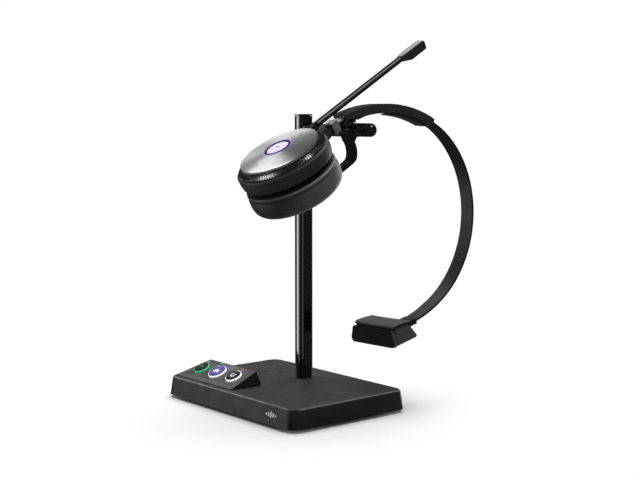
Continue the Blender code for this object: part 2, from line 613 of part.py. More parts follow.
# ---------------------------------------------------------------- headset: far pad
def build_pad(headset):
    turn = (0.0, PAD_ROLL, PAD_YAW)
    clip = frame("pad_clip", (0.0, PAD_PIN_Y, PAD_PIN_Z), turn, headset)
    pad = frame("pad_pivot", (0.0, PAD_PIN_Y, PAD_PIN_Z), turn, headset)
    block = [(0.0119, 0.0067), (0.0036, 0.0041), (0.0050, -0.0003), (0.0132, 0.0022)]
    fitting = side_plate("band_end_fitting", block, -0.0069, 0.0069, SATIN_GREY, clip)
    bevel(fitting, 0.0005, 1, 50)
    neck = [(0.0058, 0.0028), (0.0, 0.0027), (0.0, -0.0027), (0.0058, -0.0012)]
    shaped(fitting, side_mesh("neck", neck, -0.0027, 0.0027), "UNION")
    shaped(fitting, rod_mesh("barrel", 0.0029, (-0.0027, 0.0, 0.0), 0.0054, "X"), "UNION")
    shaped(fitting, rod_mesh("eye", 0.0013, (-0.01, 0.0, 0.0), 0.02, "X", sides=16))
    shaped(fitting, side_mesh("band_slot", band_strip(-158.0, BAND_END - 0.4, -0.0012, 0.0012, 3.0),
                              -BAND_WIDTH / 2 - GAP, BAND_WIDTH / 2 + GAP), parent=headset)

    half = PAD_LENGTH / 2
    section = [(-0.0221, 0.0029), (-0.0212, -0.0104), (-0.0008, -0.0043), (-0.0078, 0.0055)]
    carrier = side_plate("t_pad_carrier", section, -half, half, BLACK, pad)
    for vertex in carrier.data.vertices:
        if vertex.co.z > 0.0:
            vertex.co.x *= PAD_TOP_SHARE
    bevel(carrier, 0.0022, 3, 50)
    panel = plate_mesh("front_panel", rounded_rectangle(PAD_LENGTH + 0.0008, 0.0128, 0.0038), -0.0015, 0.0015)
    for vertex in panel.vertices:
        if vertex.co.y > 0.0:
            vertex.co.x *= PAD_TOP_SHARE
    panel.transform(Matrix.Translation((0.0, -0.0227, -0.0047)) @ Matrix.Rotation(math.radians(94), 4, "X"))
    shaped(carrier, panel, "UNION")
    lug = [(-0.0076, 0.0052), (0.0016, 0.0049), (0.0026, 0.0036), (0.0030, 0.0), (0.0018, -0.0030), (-0.0060, -0.0042)]
    shaped(carrier, side_mesh("stem", lug, -0.0060, 0.0060), "UNION")
    swing = [(-0.0040, 0.0036), (0.0080, 0.0042), (0.0080, -0.0100), (-0.0040, -0.0100)]
    shaped(carrier, side_mesh("swing", swing, -0.0031, 0.0031))
    shaped(carrier, rod_mesh("pin_eye", 0.0013, (-0.0075, 0.0, 0.0), 0.015, "X", sides=16))
    rod("t_pad_pin", 0.0010, (-0.0056, 0.0, 0.0), 0.0112, STEEL, "X", pad, sides=16)
    cushion = [(-0.0223, 0.0032), (-0.0080, 0.0059), (-0.0060, 0.0063), (-0.0062, 0.0078), (-0.0212, 0.0054),
               (-0.0224, 0.0046)]
    soft = side_plate("t_pad_cushion", cushion, -half * PAD_TOP_SHARE, half * PAD_TOP_SHARE, LEATHERETTE, pad)
    bevel(soft, 0.0009, 2, 40)


# ---------------------------------------------------------------- headset: ear cup
DISC_RADIUS = 0.0292
DISC_CROWN = 0.0026


def dome_height(radius):
    """Height of the outer disc's shallow dome over the rim plane."""
    return DISC_CROWN * (1 - (radius / DISC_RADIUS) ** 2)


def build_cup_face(cup):
    radii = [0.0099 + (0.0286 - 0.0099) * i / 5 for i in range(6)]
    top = [(r, dome_height(r)) for r in radii]
    under = [(r, dome_height(r) - 0.0014) for r in reversed(radii[:5])]
    rim = [(DISC_RADIUS, -0.0005), (DISC_RADIUS, -0.0019), (0.0276, -0.0019)]
    turned("cup_disc", top + rim + under, BRUSHED, cup, ring=True)
    crown = dome_height(0.0090)
    light = [(0.0085, crown - 0.0001), (0.0090, crown + 0.0001), (0.0096, crown - 0.0002), (0.0096, 0.0008),
             (0.0085, 0.0008)]
    turned("led_ring", light, PURPLE, cup, sides=36, ring=True)
    face = [(0.0, 0.0026), (0.0050, 0.0025), (0.0078, 0.0022), (0.0082, 0.0017), (0.0082, 0.0008), (0.0018, 0.0008),
            (0.0018, -0.0060), (0.0, -0.0060)]
    turned("multifunction_button", face, BRUSHED, cup, sides=36)


def build_cup_body(cup):
    shell = [(0.0216, -0.0012), (0.0240, -0.0012), (0.0240, -0.0056), (0.0332, -0.0056), (0.0343, -0.0066),
             (0.0342, -0.0110), (0.0337, -0.0144), (0.0331, -0.0157), (0.0312, -0.0157), (0.0312, -0.0076),
             (0.0216, -0.0076)]
    housing = turned("cup_housing", shell, SATIN_GREY, cup, ring=True)
    for side in (-1, 1):
        low, high = sorted((side * 0.0034, side * 0.0064))
        lug = [(0.0324, -0.0146), (TILT_PIN_V, -0.0146)]
        lug += arc((TILT_PIN_V, TILT_PIN_W), 0.0042, -75, 75, 8)
        lug += [(TILT_PIN_V, -0.0062), (0.0324, -0.0062)]
        shaped(housing, side_mesh("lug", lug, low, high), "UNION")
    shaped(housing, rod_mesh("eye", 0.0015, (-0.0056, TILT_PIN_V, TILT_PIN_W), 0.0112, "X", sides=16))
    shaped(housing, box_mesh("switch_slot", (-0.040, -0.0036, -0.0135), (-0.029, 0.0036, -0.0105)))
    box("power_switch", (-0.0352, -0.0033, -0.0131), (-0.0317, 0.0007, -0.0109), BLACK, cup)

    board = rod("headset_board", 0.0290, (0.0, 0.0, -0.0092), 0.0012, BOARD, parent=cup, sides=36)
    shaped(board, box_mesh("switch", (-0.0022, -0.0022, -0.0085), (0.0022, 0.0022, -0.0070)), "UNION")
    box("battery", (-0.0120, -0.0150, -0.0132), (0.0120, 0.0150, -0.0096), CELL, cup)
    turned("speaker_driver", [(0.0, -0.0135), (0.0080, -0.0135), (0.0080, -0.0148), (0.0140, -0.0156),
                              (0.0140, -0.0180), (0.0, -0.0180)], BLACK, cup, sides=36)
    turned("speaker_baffle", [(0.0143, -0.0166), (0.0290, -0.0166), (0.0290, -0.0160), (0.0308, -0.0160),
                              (0.0308, -0.0189), (0.0290, -0.0189), (0.0290, -0.0180), (0.0143, -0.0180)],
           BLACK, cup, ring=True)
    rod("ear_scrim", 0.0280, (0.0, 0.0, -0.0189), 0.0006, CLOTH, parent=cup, sides=36)
    roll = [(0.0130, -0.0192), (0.0334, -0.0192), (0.0340, -0.0225), (0.0341, -0.0300), (0.0333, -0.0338),
            (0.0318, -0.0360), (0.0295, -0.0376), (0.0265, -0.0386), (0.0220, -0.0388), (0.0175, -0.0374),
            (0.0142, -0.0342), (0.0130, -0.0295)]
    turned("ear_cushion", roll, LEATHERETTE, cup, ring=True)


def build_slider(slider, cup_frame):
    """Curved strip with the bright collar, and the neck that holds the cup's pin."""
    collar_outline = [cup_to_stand(v, w) for v, w in ((0.0451, -0.0155), (0.0513, -0.0155),
                                                      (0.0513, -0.0059), (0.0451, -0.0059))]
    origin = (SLEEVE_ARC_Y, SLEEVE_ARC_Z)
    collar = side_plate("slider_strip", shifted(collar_outline, origin), -0.0065, 0.0065, BRUSHED, slider)
    bevel(collar, 0.0006, 2, 50)
    strip = band_strip(27.5, SLIDER_END, -0.0006, 0.0006, 4.5)
    shaped(collar, side_mesh("strip", shifted(strip, origin), -0.0050, 0.0050), "UNION")

    body = [(0.0429, -0.0150), (0.0448, -0.0150), (0.0448, -0.0064), (0.0429, -0.0064)]
    neck = side_plate("neck", body, -0.0064, 0.0064, SATIN_GREY, cup_frame)
    bevel(neck, 0.0004, 1, 50)
    tongue = arc((TILT_PIN_V, TILT_PIN_W), 0.0037, 90, 270, 10) + [(0.0437, -0.0141), (0.0437, -0.0067)]
    shaped(neck, side_mesh("tongue", tongue, -0.0031, 0.0031), "UNION")
    shaped(neck, rod_mesh("eye", 0.0015, (-0.01, TILT_PIN_V, TILT_PIN_W), 0.02, "X", sides=16))
    rod("tilt_pin", 0.0012, (-0.0053, TILT_PIN_V, TILT_PIN_W), 0.0106, STEEL, "X", cup_frame, sides=16)


# ---------------------------------------------------------------- headset: microphone boom
def build_boom(boom):
    ring = turned("boom_ring", [(0.0244, -0.0023), (0.0303, -0.0023), (0.0327, -0.0044), (0.0329, -0.0052),
                                (0.0244, -0.0052)], BLACK, boom, ring=True)
    shaped(ring, box_mesh("root", (-0.0028, 0.0300, -0.0052), (0.0028, 0.0370, -0.0003)), "UNION")
    shaped(ring, box_mesh("socket", (-0.0016, 0.0335, -0.0035), (0.0016, 0.0380, -0.0009)))
    arm = side_plate("boom_arm", [(0.0373, -0.0040), (0.1300, -0.0040), (0.1300, -0.0004), (0.0373, -0.0004)],
                     -0.0027, 0.0027, SATIN_GREY, boom)
    bevel(arm, 0.0009, 2, 50)
    shaped(arm, box_mesh("tenon", (-0.0013, 0.0338, -0.0032), (0.0013, 0.0390, -0.0012)), "UNION")
    outline = [(0.1303, -0.0004), (0.1303, -0.0041), (0.1392, -0.0073), (0.1553, -0.0073), (0.1565, -0.0062),
               (0.1569, -0.0014), (0.1560, -0.0005), (0.1450, 0.0), (0.1370, -0.0001)]
    head = side_plate("mic_head", outline, -0.0035, 0.0035, SATIN_GREY, boom)
    for vertex in head.data.vertices:
        if vertex.co.y < 0.131:
            vertex.co.x *= 0.78
    bevel(head, 0.0006, 2, 40)
    shaped(head, box_mesh("chamber", (-0.0024, 0.1406, -0.0090), (0.0024, 0.1514, -0.0030)))
    box("mic_grille", (-0.0021, 0.1409, -0.0073), (0.0021, 0.1511, -0.0066), STEEL, boom)
    rod("mic_capsule", 0.0020, (0.0, 0.1460, -0.0062), 0.0028, BLACK, parent=boom, sides=16)


# ---------------------------------------------------------------- assembly
def main():
    build_base_shell()
    build_base_underside()
    build_base_insides()
    build_call_buttons(build_wedge())
    build_post()
    build_bar()
    build_cradle()

    headset = frame("headset", (HEADSET_X, 0.0, 0.0))
    build_sleeve(headset)
    build_pad(headset)
    slider = frame("slider_arc", (0.0, SLEEVE_ARC_Y, SLEEVE_ARC_Z), parent=headset)
    centre = (0.0, CUP_CENTRE_Y - SLEEVE_ARC_Y, CUP_CENTRE_Z - SLEEVE_ARC_Z)
    neck_frame = frame("neck_frame", centre, (CUP_TILT, 0.0, 0.0), slider)
    build_slider(slider, neck_frame)
    tilt = frame("cup_tilt", (0.0, TILT_PIN_V, TILT_PIN_W), parent=neck_frame)
    cup = frame("cup", (0.0, -TILT_PIN_V, -TILT_PIN_W), parent=tilt)
    build_cup_face(cup)
    build_cup_body(cup)
    boom = frame("boom", (0.0, 0.0, 0.0), parent=cup)
    build_boom(boom)


main()
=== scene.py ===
"""Looks of the single-ear wireless headset on its charging stand.

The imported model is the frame, in metres.  Small pieces are drawn in millimetres in the
frame of what carries them: the cup's turning axis, the slope of the buttons, the hanger
bar, the far pad or the arc of the sleeve.
"""
import json
import math

import bmesh
import bpy
from mathutils import Matrix, Vector, noise


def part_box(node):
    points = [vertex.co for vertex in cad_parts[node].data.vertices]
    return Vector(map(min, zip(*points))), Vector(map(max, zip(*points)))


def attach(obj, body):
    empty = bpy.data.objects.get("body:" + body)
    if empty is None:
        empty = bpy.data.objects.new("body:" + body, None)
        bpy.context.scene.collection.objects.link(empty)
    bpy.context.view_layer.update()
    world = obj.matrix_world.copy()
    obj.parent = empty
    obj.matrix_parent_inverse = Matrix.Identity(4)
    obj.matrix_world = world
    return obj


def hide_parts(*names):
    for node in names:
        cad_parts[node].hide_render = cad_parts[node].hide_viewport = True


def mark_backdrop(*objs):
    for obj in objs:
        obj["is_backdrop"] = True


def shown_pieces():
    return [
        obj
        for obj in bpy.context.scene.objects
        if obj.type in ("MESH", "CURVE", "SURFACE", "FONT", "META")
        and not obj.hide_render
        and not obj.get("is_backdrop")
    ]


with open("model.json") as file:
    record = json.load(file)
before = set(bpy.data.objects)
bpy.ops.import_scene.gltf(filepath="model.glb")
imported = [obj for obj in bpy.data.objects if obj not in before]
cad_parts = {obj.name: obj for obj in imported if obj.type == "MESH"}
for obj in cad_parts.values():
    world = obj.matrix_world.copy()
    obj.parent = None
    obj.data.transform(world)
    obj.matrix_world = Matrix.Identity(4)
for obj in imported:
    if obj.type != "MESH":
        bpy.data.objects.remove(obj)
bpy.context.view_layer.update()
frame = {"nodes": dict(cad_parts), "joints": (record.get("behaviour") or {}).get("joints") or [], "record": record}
NODES = frame["nodes"]
JOINTS = {joint["name"]: joint for joint in frame["joints"]}
MM = 0.001


# ---------------------------------------------------------------- frames
PAD_YAW = math.radians(-6.8)
PAD_ROLL = math.radians(-2.8)


def frame_from(origin, normal):
    """Local z along the normal, local x along the stand's X."""
    z = Vector(normal).normalized()
    x = Vector((1.0, 0.0, 0.0))
    y = z.cross(x)
    turn = Matrix((x, y, z)).transposed().to_4x4()
    return Matrix.Translation(origin) @ turn


def middle(node):
    low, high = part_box(node)
    return (low + high) / 2


def rod_frame(node):
    """Local z along the bar, starting on its near end face."""
    low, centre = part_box(node)[0], middle(node)
    return Matrix.Translation((low.x, centre.y, centre.z)) @ Matrix.Rotation(math.pi / 2, 4, "Y")


CUP = frame_from(JOINTS["boom_swing"]["pos_m"], JOINTS["boom_swing"]["axis"])
SLOPE_NORMAL = -Vector(JOINTS["phone_press"]["axis"]).normalized()
PAD = (Matrix.Translation(JOINTS["pad_tilt"]["pos_m"]) @ Matrix.Rotation(PAD_YAW, 4, "Z")
       @ Matrix.Rotation(PAD_ROLL, 4, "Y"))
HEADSET_X = JOINTS["boom_swing"]["pos_m"][0]


def slope_frame(node, lift):
    """Local z out of the slope, starting some millimetres above the middle of a node."""
    return frame_from(middle(node) + SLOPE_NORMAL * lift * MM, SLOPE_NORMAL)


# ---------------------------------------------------------------- finishes
class Finish:
    """A Principled material whose colour, gloss and relief are built up step by step."""

    def __init__(self, name, colour, roughness=0.5, metallic=0.0):
        self.material = bpy.data.materials.new(name)
        self.material.use_nodes = True
        self.tree = self.material.node_tree
        self.shader = self.tree.nodes["Principled BSDF"]
        self.place = self.node("ShaderNodeTexCoord").outputs["Object"]
        self.colour = self.node("ShaderNodeRGB").outputs[0]
        self.colour.default_value = (*colour, 1.0)
        self.normal = None
        self.set("Base Color", self.colour)
        self.set("Roughness", roughness)
        self.set("Metallic", metallic)

    def node(self, kind, operation=None, **values):
        """Adds a node; each value is a plain value or the socket it comes from."""
        made = self.tree.nodes.new(kind)
        if operation:
            made.operation = operation
        for key, value in values.items():
            self.feed(made, key, value)
        return made

    def feed(self, node, key, value):
        """Sets or links an input, called by its label or, as _0, by its number."""
        numbered = key[0] == "_" and key[1:].isdigit()
        socket = node.inputs[int(key[1:]) if numbered else key.replace("_", " ")]
        if isinstance(value, bpy.types.NodeSocket):
            self.tree.links.new(value, socket)
        else:
            socket.default_value = value

    def set(self, key, value):
        self.feed(self.shader, key, value)
        return self

    def mapped(self, **values):
        """The place moved, turned or stretched."""
        return self.node("ShaderNodeMapping", Vector=self.place, **values).outputs["Vector"]

    def from_axis(self):
        """Distance from the local z axis, in metres."""
        flat = self.node("ShaderNodeVectorMath", "MULTIPLY", _0=self.place, _1=(1.0, 1.0, 0.0))
        return self.node("ShaderNodeVectorMath", "LENGTH", _0=flat.outputs[0]).outputs["Value"]

    def spots(self, scale, detail=3.0, vector=None):
        """Soft noise, mostly between 0.3 and 0.7."""
        made = self.node("ShaderNodeTexNoise", Vector=vector or self.place, Scale=scale, Detail=detail)
        return made.outputs["Fac"]

    def maths(self, operation, first, second=0.0):
        return self.node("ShaderNodeMath", operation, _0=first, _1=second).outputs[0]

    def between(self, factor, low, high, start=0.3, end=0.7):
        """Maps a factor's stretch from start to end onto low to high."""
        return self.node("ShaderNodeMapRange", Value=factor, From_Min=start, From_Max=end, To_Min=low,
                         To_Max=high).outputs["Result"]

    def band(self, key, centre, half, height):
        """A line of a given height at the centre, fading to 0 half a width away along one axis."""
        split = self.node("ShaderNodeSeparateXYZ", Vector=self.place)
        away = self.maths("ABSOLUTE", self.maths("SUBTRACT", split.outputs[key], centre))
        return self.between(away, height, 0.0, 0.0, half)

    def tint(self, factor, low=0.85, high=1.15):
        """Darkens and lightens the colour by a factor's range."""
        scaled = self.node("ShaderNodeVectorMath", "SCALE", _0=self.colour,
                           Scale=self.between(factor, low, high))
        self.colour = scaled.outputs[0]
        return self.set("Base Color", self.colour)

    def blend_colour(self, factor, other):
        mix = self.tree.nodes.new("ShaderNodeMix")
        mix.data_type = "RGBA"
        self.tree.links.new(factor, mix.inputs[0])
        self.tree.links.new(self.colour, mix.inputs[6])
        mix.inputs[7].default_value = (*other, 1.0)
        self.colour = mix.outputs[2]
        return self.set("Base Color", self.colour)

    def gloss(self, factor, low, high):
        return self.set("Roughness", self.between(factor, low, high))

    def relief(self, height, depth, strength=1.0):
        """Adds a bump, its depth in metres, on top of the earlier ones."""
        values = {"Height": height, "Distance": depth, "Strength": strength}
        if self.normal is not None:
            values["Normal"] = self.normal
        self.normal = self.node("ShaderNodeBump", **values).outputs["Normal"]
        return self.set("Normal", self.normal)


def moulded(name, colour, roughness=0.5, grain=1400.0, depth=0.00002):
    """Moulded plastic: fine spark-eroded grain, slow colour drift, handled patches."""
    made = Finish(name, colour, roughness)
    made.tint(made.spots(60.0), 0.90, 1.12)
    made.gloss(made.spots(90.0, 4.0), roughness - 0.07, roughness + 0.07)
    made.relief(made.spots(grain, 2.0), depth, 0.35)
    return made


def base_plastic(name):
    """The base's plastic: finer grained and less mirror-like than the rest."""
    made = moulded(name, (0.027, 0.027, 0.029), 0.46, 2600.0, 0.00003)
    return made.set("Specular IOR Level", 0.42)


def painted_shade_black(name):
    """Painted shade: near-black with little gloss, so the speaker baffle in the cup's deep groove returns next to
    no light, standing in for the groove's shade.
    """
    return moulded(name, (0.002, 0.002, 0.002), 0.7).set("Specular IOR Level", 0.1)


def polished(name, colour, roughness=0.08):
    """Gloss plastic: slight waviness, faint dust and smears in the gloss."""
    made = Finish(name, colour, roughness)
    made.tint(made.spots(120.0), 0.9, 1.15)
    made.gloss(made.spots(220.0, 6.0), roughness, roughness + 0.10)
    made.relief(made.spots(30.0, 1.0), 0.00004, 0.02)
    made.set("Coat Weight", 0.6).set("Coat Roughness", 0.05)
    return made


def leatherette(name, colour, roughness=0.5, scale=1500.0):
    """Soft synthetic leather: pebbled grain, stretched wrinkles and a faint sheen."""
    made = Finish(name, colour, roughness)
    cells = made.node("ShaderNodeTexVoronoi", Vector=made.place, Scale=scale)
    made.tint(made.spots(180.0, 4.0), 0.86, 1.16)
    made.gloss(made.spots(260.0, 4.0), roughness - 0.08, roughness + 0.10)
    made.relief(cells.outputs["Distance"], 0.00006, 0.35)
    made.relief(made.spots(330.0, 5.0), 0.00014, 0.30)
    made.set("Sheen Weight", 0.15).set("Sheen Roughness", 0.4)
    return made


STROKES_PER_METRE = 9000.0
STROKES_PER_RADIAN = 2.0


def brushed_round(name, colour, roughness=0.3):
    """Metal brushed in circles about the piece's own z axis."""
    made = Finish(name, colour, roughness, 1.0)
    split = made.node("ShaderNodeSeparateXYZ", Vector=made.place)
    angle = made.maths("ARCTAN2", split.outputs["Y"], split.outputs["X"])
    across = made.node("ShaderNodeCombineXYZ", X=made.maths("MULTIPLY", made.from_axis(), STROKES_PER_METRE),
                       Y=made.maths("MULTIPLY", angle, STROKES_PER_RADIAN))
    strokes = made.spots(1.0, 2.0, across.outputs[0])
    made.tint(strokes, 0.90, 1.08)
    made.gloss(strokes, roughness - 0.05, roughness + 0.08)
    made.relief(strokes, 0.000012, 0.25)
    tangent = made.tree.nodes.new("ShaderNodeTangent")
    tangent.direction_type = "RADIAL"
    tangent.axis = "Z"
    made.set("Tangent", tangent.outputs["Tangent"])
    made.set("Anisotropic", 0.8).set("Anisotropic Rotation", 0.25)
    return made


def brushed_straight(name, colour, roughness=0.28, stretch=(2500.0, 120.0, 120.0)):
    """Metal brushed in straight strokes, short along the axis with the largest stretch."""
    made = Finish(name, colour, roughness, 1.0)
    strokes = made.spots(1.0, 3.0, made.mapped(Scale=stretch))
    made.tint(strokes, 0.88, 1.08)
    made.gloss(strokes, roughness - 0.06, roughness + 0.10)
    made.relief(strokes, 0.00001, 0.25)
    return made


# Painted light: a purple glow given to the disc's metal near the ring light, fading out between the two radii
# below.
PAINTED_RING_SPILL = (0.42, 0.22, 1.0, 1.0)
GLOW_START, GLOW_END = 0.0098, 0.0122


def disc_metal(name):
    """Brushed metal with a painted glow round its centre, standing in for the ring light's purple light falling on
    the metal.
    """
    made = brushed_round(name, (0.80, 0.80, 0.81), 0.34)
    made.set("Emission Color", PAINTED_RING_SPILL)
    made.set("Emission Strength", made.between(made.from_axis(), 0.28, 0.0, GLOW_START, GLOW_END))
    return made


# Painted highlight: a light grey standing in for light caught along edges, used on the ear cushion's lip and the
# boom's edge.
PAINTED_HIGHLIGHT = (0.20, 0.20, 0.205)
# Painted shade: near-black standing in for the shade in the ear cushion's sewn crease.
PAINTED_CREASE_SHADE = (0.002, 0.002, 0.002)
CREASE_HEIGHT, LIP_HEIGHT = -0.0227, -0.0203
LINE_WIDTH = 0.0007


def ear_leather(name):
    """Leatherette with painted shade darkening the sewn crease and a painted highlight on the lip above it."""
    made = leatherette(name, (0.033, 0.033, 0.035), 0.48)
    # Painted shade: the crease is darkened in the colour.
    made.blend_colour(made.band("Z", CREASE_HEIGHT, LINE_WIDTH, 0.95), PAINTED_CREASE_SHADE)
    # Painted highlight: a light band on the lip.
    made.blend_colour(made.band("Z", LIP_HEIGHT, LINE_WIDTH, 0.9), PAINTED_HIGHLIGHT)
    return made


BOOM_EDGE_X, BOOM_EDGE_Z = 0.0022, -0.0008
BOOM_LINE_WIDTH = 0.0010


def boom_plastic(name):
    """Moulded grey with a painted highlight, a light line along one edge of its upper face."""
    made = moulded(name, (0.009, 0.009, 0.009), 0.42)
    made.place = made.mapped(Location=CUP.translation, Rotation=CUP.to_euler())
    made.place.node.vector_type = "TEXTURE"
    # Painted highlight: a light line where the upper face meets the side, standing in for light caught by that
    # edge.
    line = made.maths("MULTIPLY", made.band("Z", BOOM_EDGE_Z, BOOM_LINE_WIDTH, 1.3),
                      made.band("X", BOOM_EDGE_X, BOOM_LINE_WIDTH, 1.3))
    made.blend_colour(line, PAINTED_HIGHLIGHT)
    return made


def lit(name, colour, strength, roughness=0.35):
    """Translucent plastic with a lamp behind it: brighter in patches, soft skin."""
    made = Finish(name, colour, roughness)
    patches = made.spots(700.0, 2.0)
    made.tint(patches, 0.9, 1.1)
    made.gloss(patches, roughness - 0.08, roughness + 0.08)
    made.set("Emission Color", made.colour)
    made.set("Emission Strength", made.between(patches, strength * 0.85, strength * 1.15))
    return made


def woven(name, colour, roughness=0.9, scale=672.0):
    """Thin cloth of crossing threads."""
    made = Finish(name, colour, roughness)
    turned_place = made.mapped(Rotation=(0.0, 0.0, math.pi / 2))
    rows = made.node("ShaderNodeTexWave", Vector=made.place, Scale=scale)
    across = made.node("ShaderNodeTexWave", Vector=turned_place, Scale=scale)
    weave = made.maths("MULTIPLY", rows.outputs["Fac"], across.outputs["Fac"])
    made.tint(weave, 0.6, 1.4)
    made.relief(weave, 0.00005, 0.6)
    return made


def board(name):
    """Solder mask with brighter tracks and pads."""
    made = Finish(name, (0.012, 0.085, 0.035), 0.4)
    tracks = made.node("ShaderNodeTexBrick", Vector=made.place, Scale=160.0)
    made.blend_colour(made.between(tracks.outputs["Fac"], 0.0, 0.6, 0.0, 1.0), (0.05, 0.22, 0.09))
    made.gloss(made.spots(300.0), 0.3, 0.5)
    made.relief(tracks.outputs["Fac"], 0.00004, 0.5)
    return made


def punched_mesh(name):
    """Fine punched steel mesh: rows of dark holes in grey metal."""
    made = Finish(name, (0.16, 0.16, 0.165), 0.4, 0.8)
    holes = made.node("ShaderNodeTexVoronoi", Vector=made.place, Scale=1900.0, Randomness=0.0)
    inside = made.between(holes.outputs["Distance"], 1.0, 0.0, 0.30, 0.42)
    made.blend_colour(inside, (0.004, 0.004, 0.004))
    made.gloss(made.spots(500.0), 0.32, 0.5)
    made.relief(inside, 0.0001, -0.8)
    return made


# Material slot: kind of finish, colour, roughness or glow, then grain or brushing.
RECIPES = {
    "base_shell": (base_plastic,),
    "wedge_shell": (base_plastic,),
    "base_cover": (moulded, (0.010, 0.010, 0.011), 0.55),
    "foot_rubber": (moulded, (0.012, 0.012, 0.012), 0.85, 900.0, 0.00008),
    "plain_steel": (brushed_straight, (0.42, 0.42, 0.43), 0.34),
    "ballast": (brushed_straight, (0.22, 0.22, 0.23), 0.5, (300.0, 300.0, 300.0)),
    "circuit_board": (board,),
    "inner_black": (moulded, (0.010, 0.010, 0.010), 0.55),
    "socket_metal": (brushed_straight, (0.60, 0.60, 0.62), 0.22),
    "gloss_post": (polished, (0.004, 0.004, 0.0045), 0.07),
    "gloss_bar": (polished, (0.004, 0.004, 0.0045), 0.09),
    "gold_contact": (brushed_straight, (0.90, 0.62, 0.24), 0.2),
    "cradle_black": (moulded, (0.010, 0.010, 0.0105), 0.35),
    "cradle_rubber": (moulded, (0.012, 0.012, 0.012), 0.8, 900.0, 0.00006),
    "sleeve_grey": (moulded, (0.046, 0.046, 0.048), 0.42),
    "sleeve_trim": (moulded, (0.040, 0.040, 0.042), 0.32),
    "saddle_black": (moulded, (0.010, 0.010, 0.010), 0.4),
    "liner_foam": (leatherette, (0.026, 0.026, 0.028), 0.5, 1700.0),
    "band_grey": (moulded, (0.020, 0.020, 0.021), 0.42),
    "fitting_black": (moulded, (0.014, 0.014, 0.015), 0.4),
    "pad_carrier": (moulded, (0.013, 0.013, 0.0135), 0.50, 1700.0, 0.00003),
    "pad_cushion": (leatherette, (0.050, 0.050, 0.052), 0.45),
    "slider_silver": (brushed_straight, (0.88, 0.88, 0.89), 0.42, (60.0, 900.0, 900.0)),
    "neck_grey": (moulded, (0.030, 0.030, 0.032), 0.42),
    "cup_grey": (moulded, (0.054, 0.054, 0.056), 0.50, 1900.0, 0.00003),
    "switch_black": (moulded, (0.010, 0.010, 0.010), 0.45),
    "battery_wrap": (polished, (0.22, 0.24, 0.27), 0.3),
    # The baffle's near-black finish is painted shade for the cup's groove.
    "baffle_black": (painted_shade_black,),
    "acoustic_cloth": (woven, (0.012, 0.012, 0.012)),
    "ear_leatherette": (ear_leather,),
    "boom_black": (polished, (0.006, 0.006, 0.006), 0.22),
    "boom_grey": (boom_plastic,),
    "mic_grey": (moulded, (0.036, 0.036, 0.038), 0.40),
    "mic_mesh": (punched_mesh,),
    "disc_silver": (disc_metal,),
    "button_silver": (lit, (0.64, 0.59, 0.78), 0.32, 0.35),
    "purple_light": (lit, (0.026, 0.006, 0.105), 0.10, 0.6),
    "green_light": (lit, (0.08, 0.52, 0.24), 0.6),
    "white_light": (lit, (0.92, 0.92, 0.95), 0.75),
    "red_light": (lit, (0.60, 0.06, 0.06), 0.4),
    "phone_key": (moulded, (0.010, 0.028, 0.016), 0.35),
    "meeting_key": (moulded, (0.150, 0.110, 0.420), 0.35),
    "desktop_key": (moulded, (0.012, 0.012, 0.013), 0.35),
}
LOOKS = {slot: kind(slot + "_look", *values) for slot, (kind, *values) in RECIPES.items()}
ICON = lit("icon_look", (0.90, 0.91, 0.93), 0.6)
DIM_ICON = lit("dim_icon_look", (0.80, 0.81, 0.83), 0.35)
GREEN_ICON = lit("green_icon_look", (0.05, 0.30, 0.14), 0.15)
PALE = moulded("pale_look", (0.30, 0.30, 0.305), 0.35)
MARK = moulded("mark_look", (0.10, 0.10, 0.105), 0.5)


# ---------------------------------------------------------------- carried-over nodes
EDGE_ANGLE = 38
# Width in millimetres of the rounding on each node's edges.
EDGE_ROUNDING = {
    "base_bottom_cover": 0.3, "anti_slip_mat": 0.4, "pc_usb_socket": 0.08, "phone_usb_socket": 0.08,
    "post_top_cap": 0.15, "cradle_arm": 0.15, "charging_saddle": 0.2, "band_gland": 0.12,
    "band_end_fitting": 0.15, "t_pad_carrier": 0.45, "neck": 0.15, "cup_housing": 0.22,
    "power_switch": 0.12, "boom_arm": 0.1, "speaker_baffle": 0.15, "spring_band": 0.25,
    "battery": 0.4, "slider_strip": 0.1, "ballast_plate": 0.3,
}


def round_edges(thing, width, angle):
    """Rounds the edges that turn by more than an angle."""
    rounding = thing.modifiers.new("edge", "BEVEL")
    rounding.width = width * MM
    rounding.segments = 2
    rounding.limit_method = "ANGLE"
    rounding.angle_limit = math.radians(angle)


def dress_nodes():
    """Every CAD node gets its slot's finish, welded points, softer edges and weighted normals."""
    slots = {entry["node"]: entry["material_slot"] for entry in frame["record"]["subparts"]}
    for name, node in NODES.items():
        mesh = node.data
        if "custom_normal" in mesh.attributes:
            mesh.attributes.remove(mesh.attributes["custom_normal"])
        mesh.materials.clear()
        mesh.materials.append(LOOKS[slots[name]].material)
        mesh.shade_smooth()
        mesh.set_sharp_from_angle(angle=math.radians(EDGE_ANGLE))
        weld = node.modifiers.new("weld", "WELD")
        weld.merge_threshold = 1e-6
        if name in EDGE_ROUNDING:
            round_edges(node, EDGE_ROUNDING[name], EDGE_ANGLE)
        normals = node.modifiers.new("normals", "WEIGHTED_NORMAL")
        normals.keep_sharp = True


# ---------------------------------------------------------------- mesh helpers
def piece(name, mesh, slot, body, place, replaces=(), finish=None, smooth=40):
    """Puts a mesh in the scene in its slot's finish, or in a finish of its own."""
    thing = bpy.data.objects.new(name, mesh)
    bpy.context.scene.collection.objects.link(thing)
    mesh.materials.clear()
    mesh.materials.append((finish or LOOKS[slot]).material)
    mesh.shade_smooth()
    mesh.set_sharp_from_angle(angle=math.radians(smooth))
    thing.matrix_world = place
    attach(thing, body)
    if replaces:
        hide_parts(*replaces)
    return thing


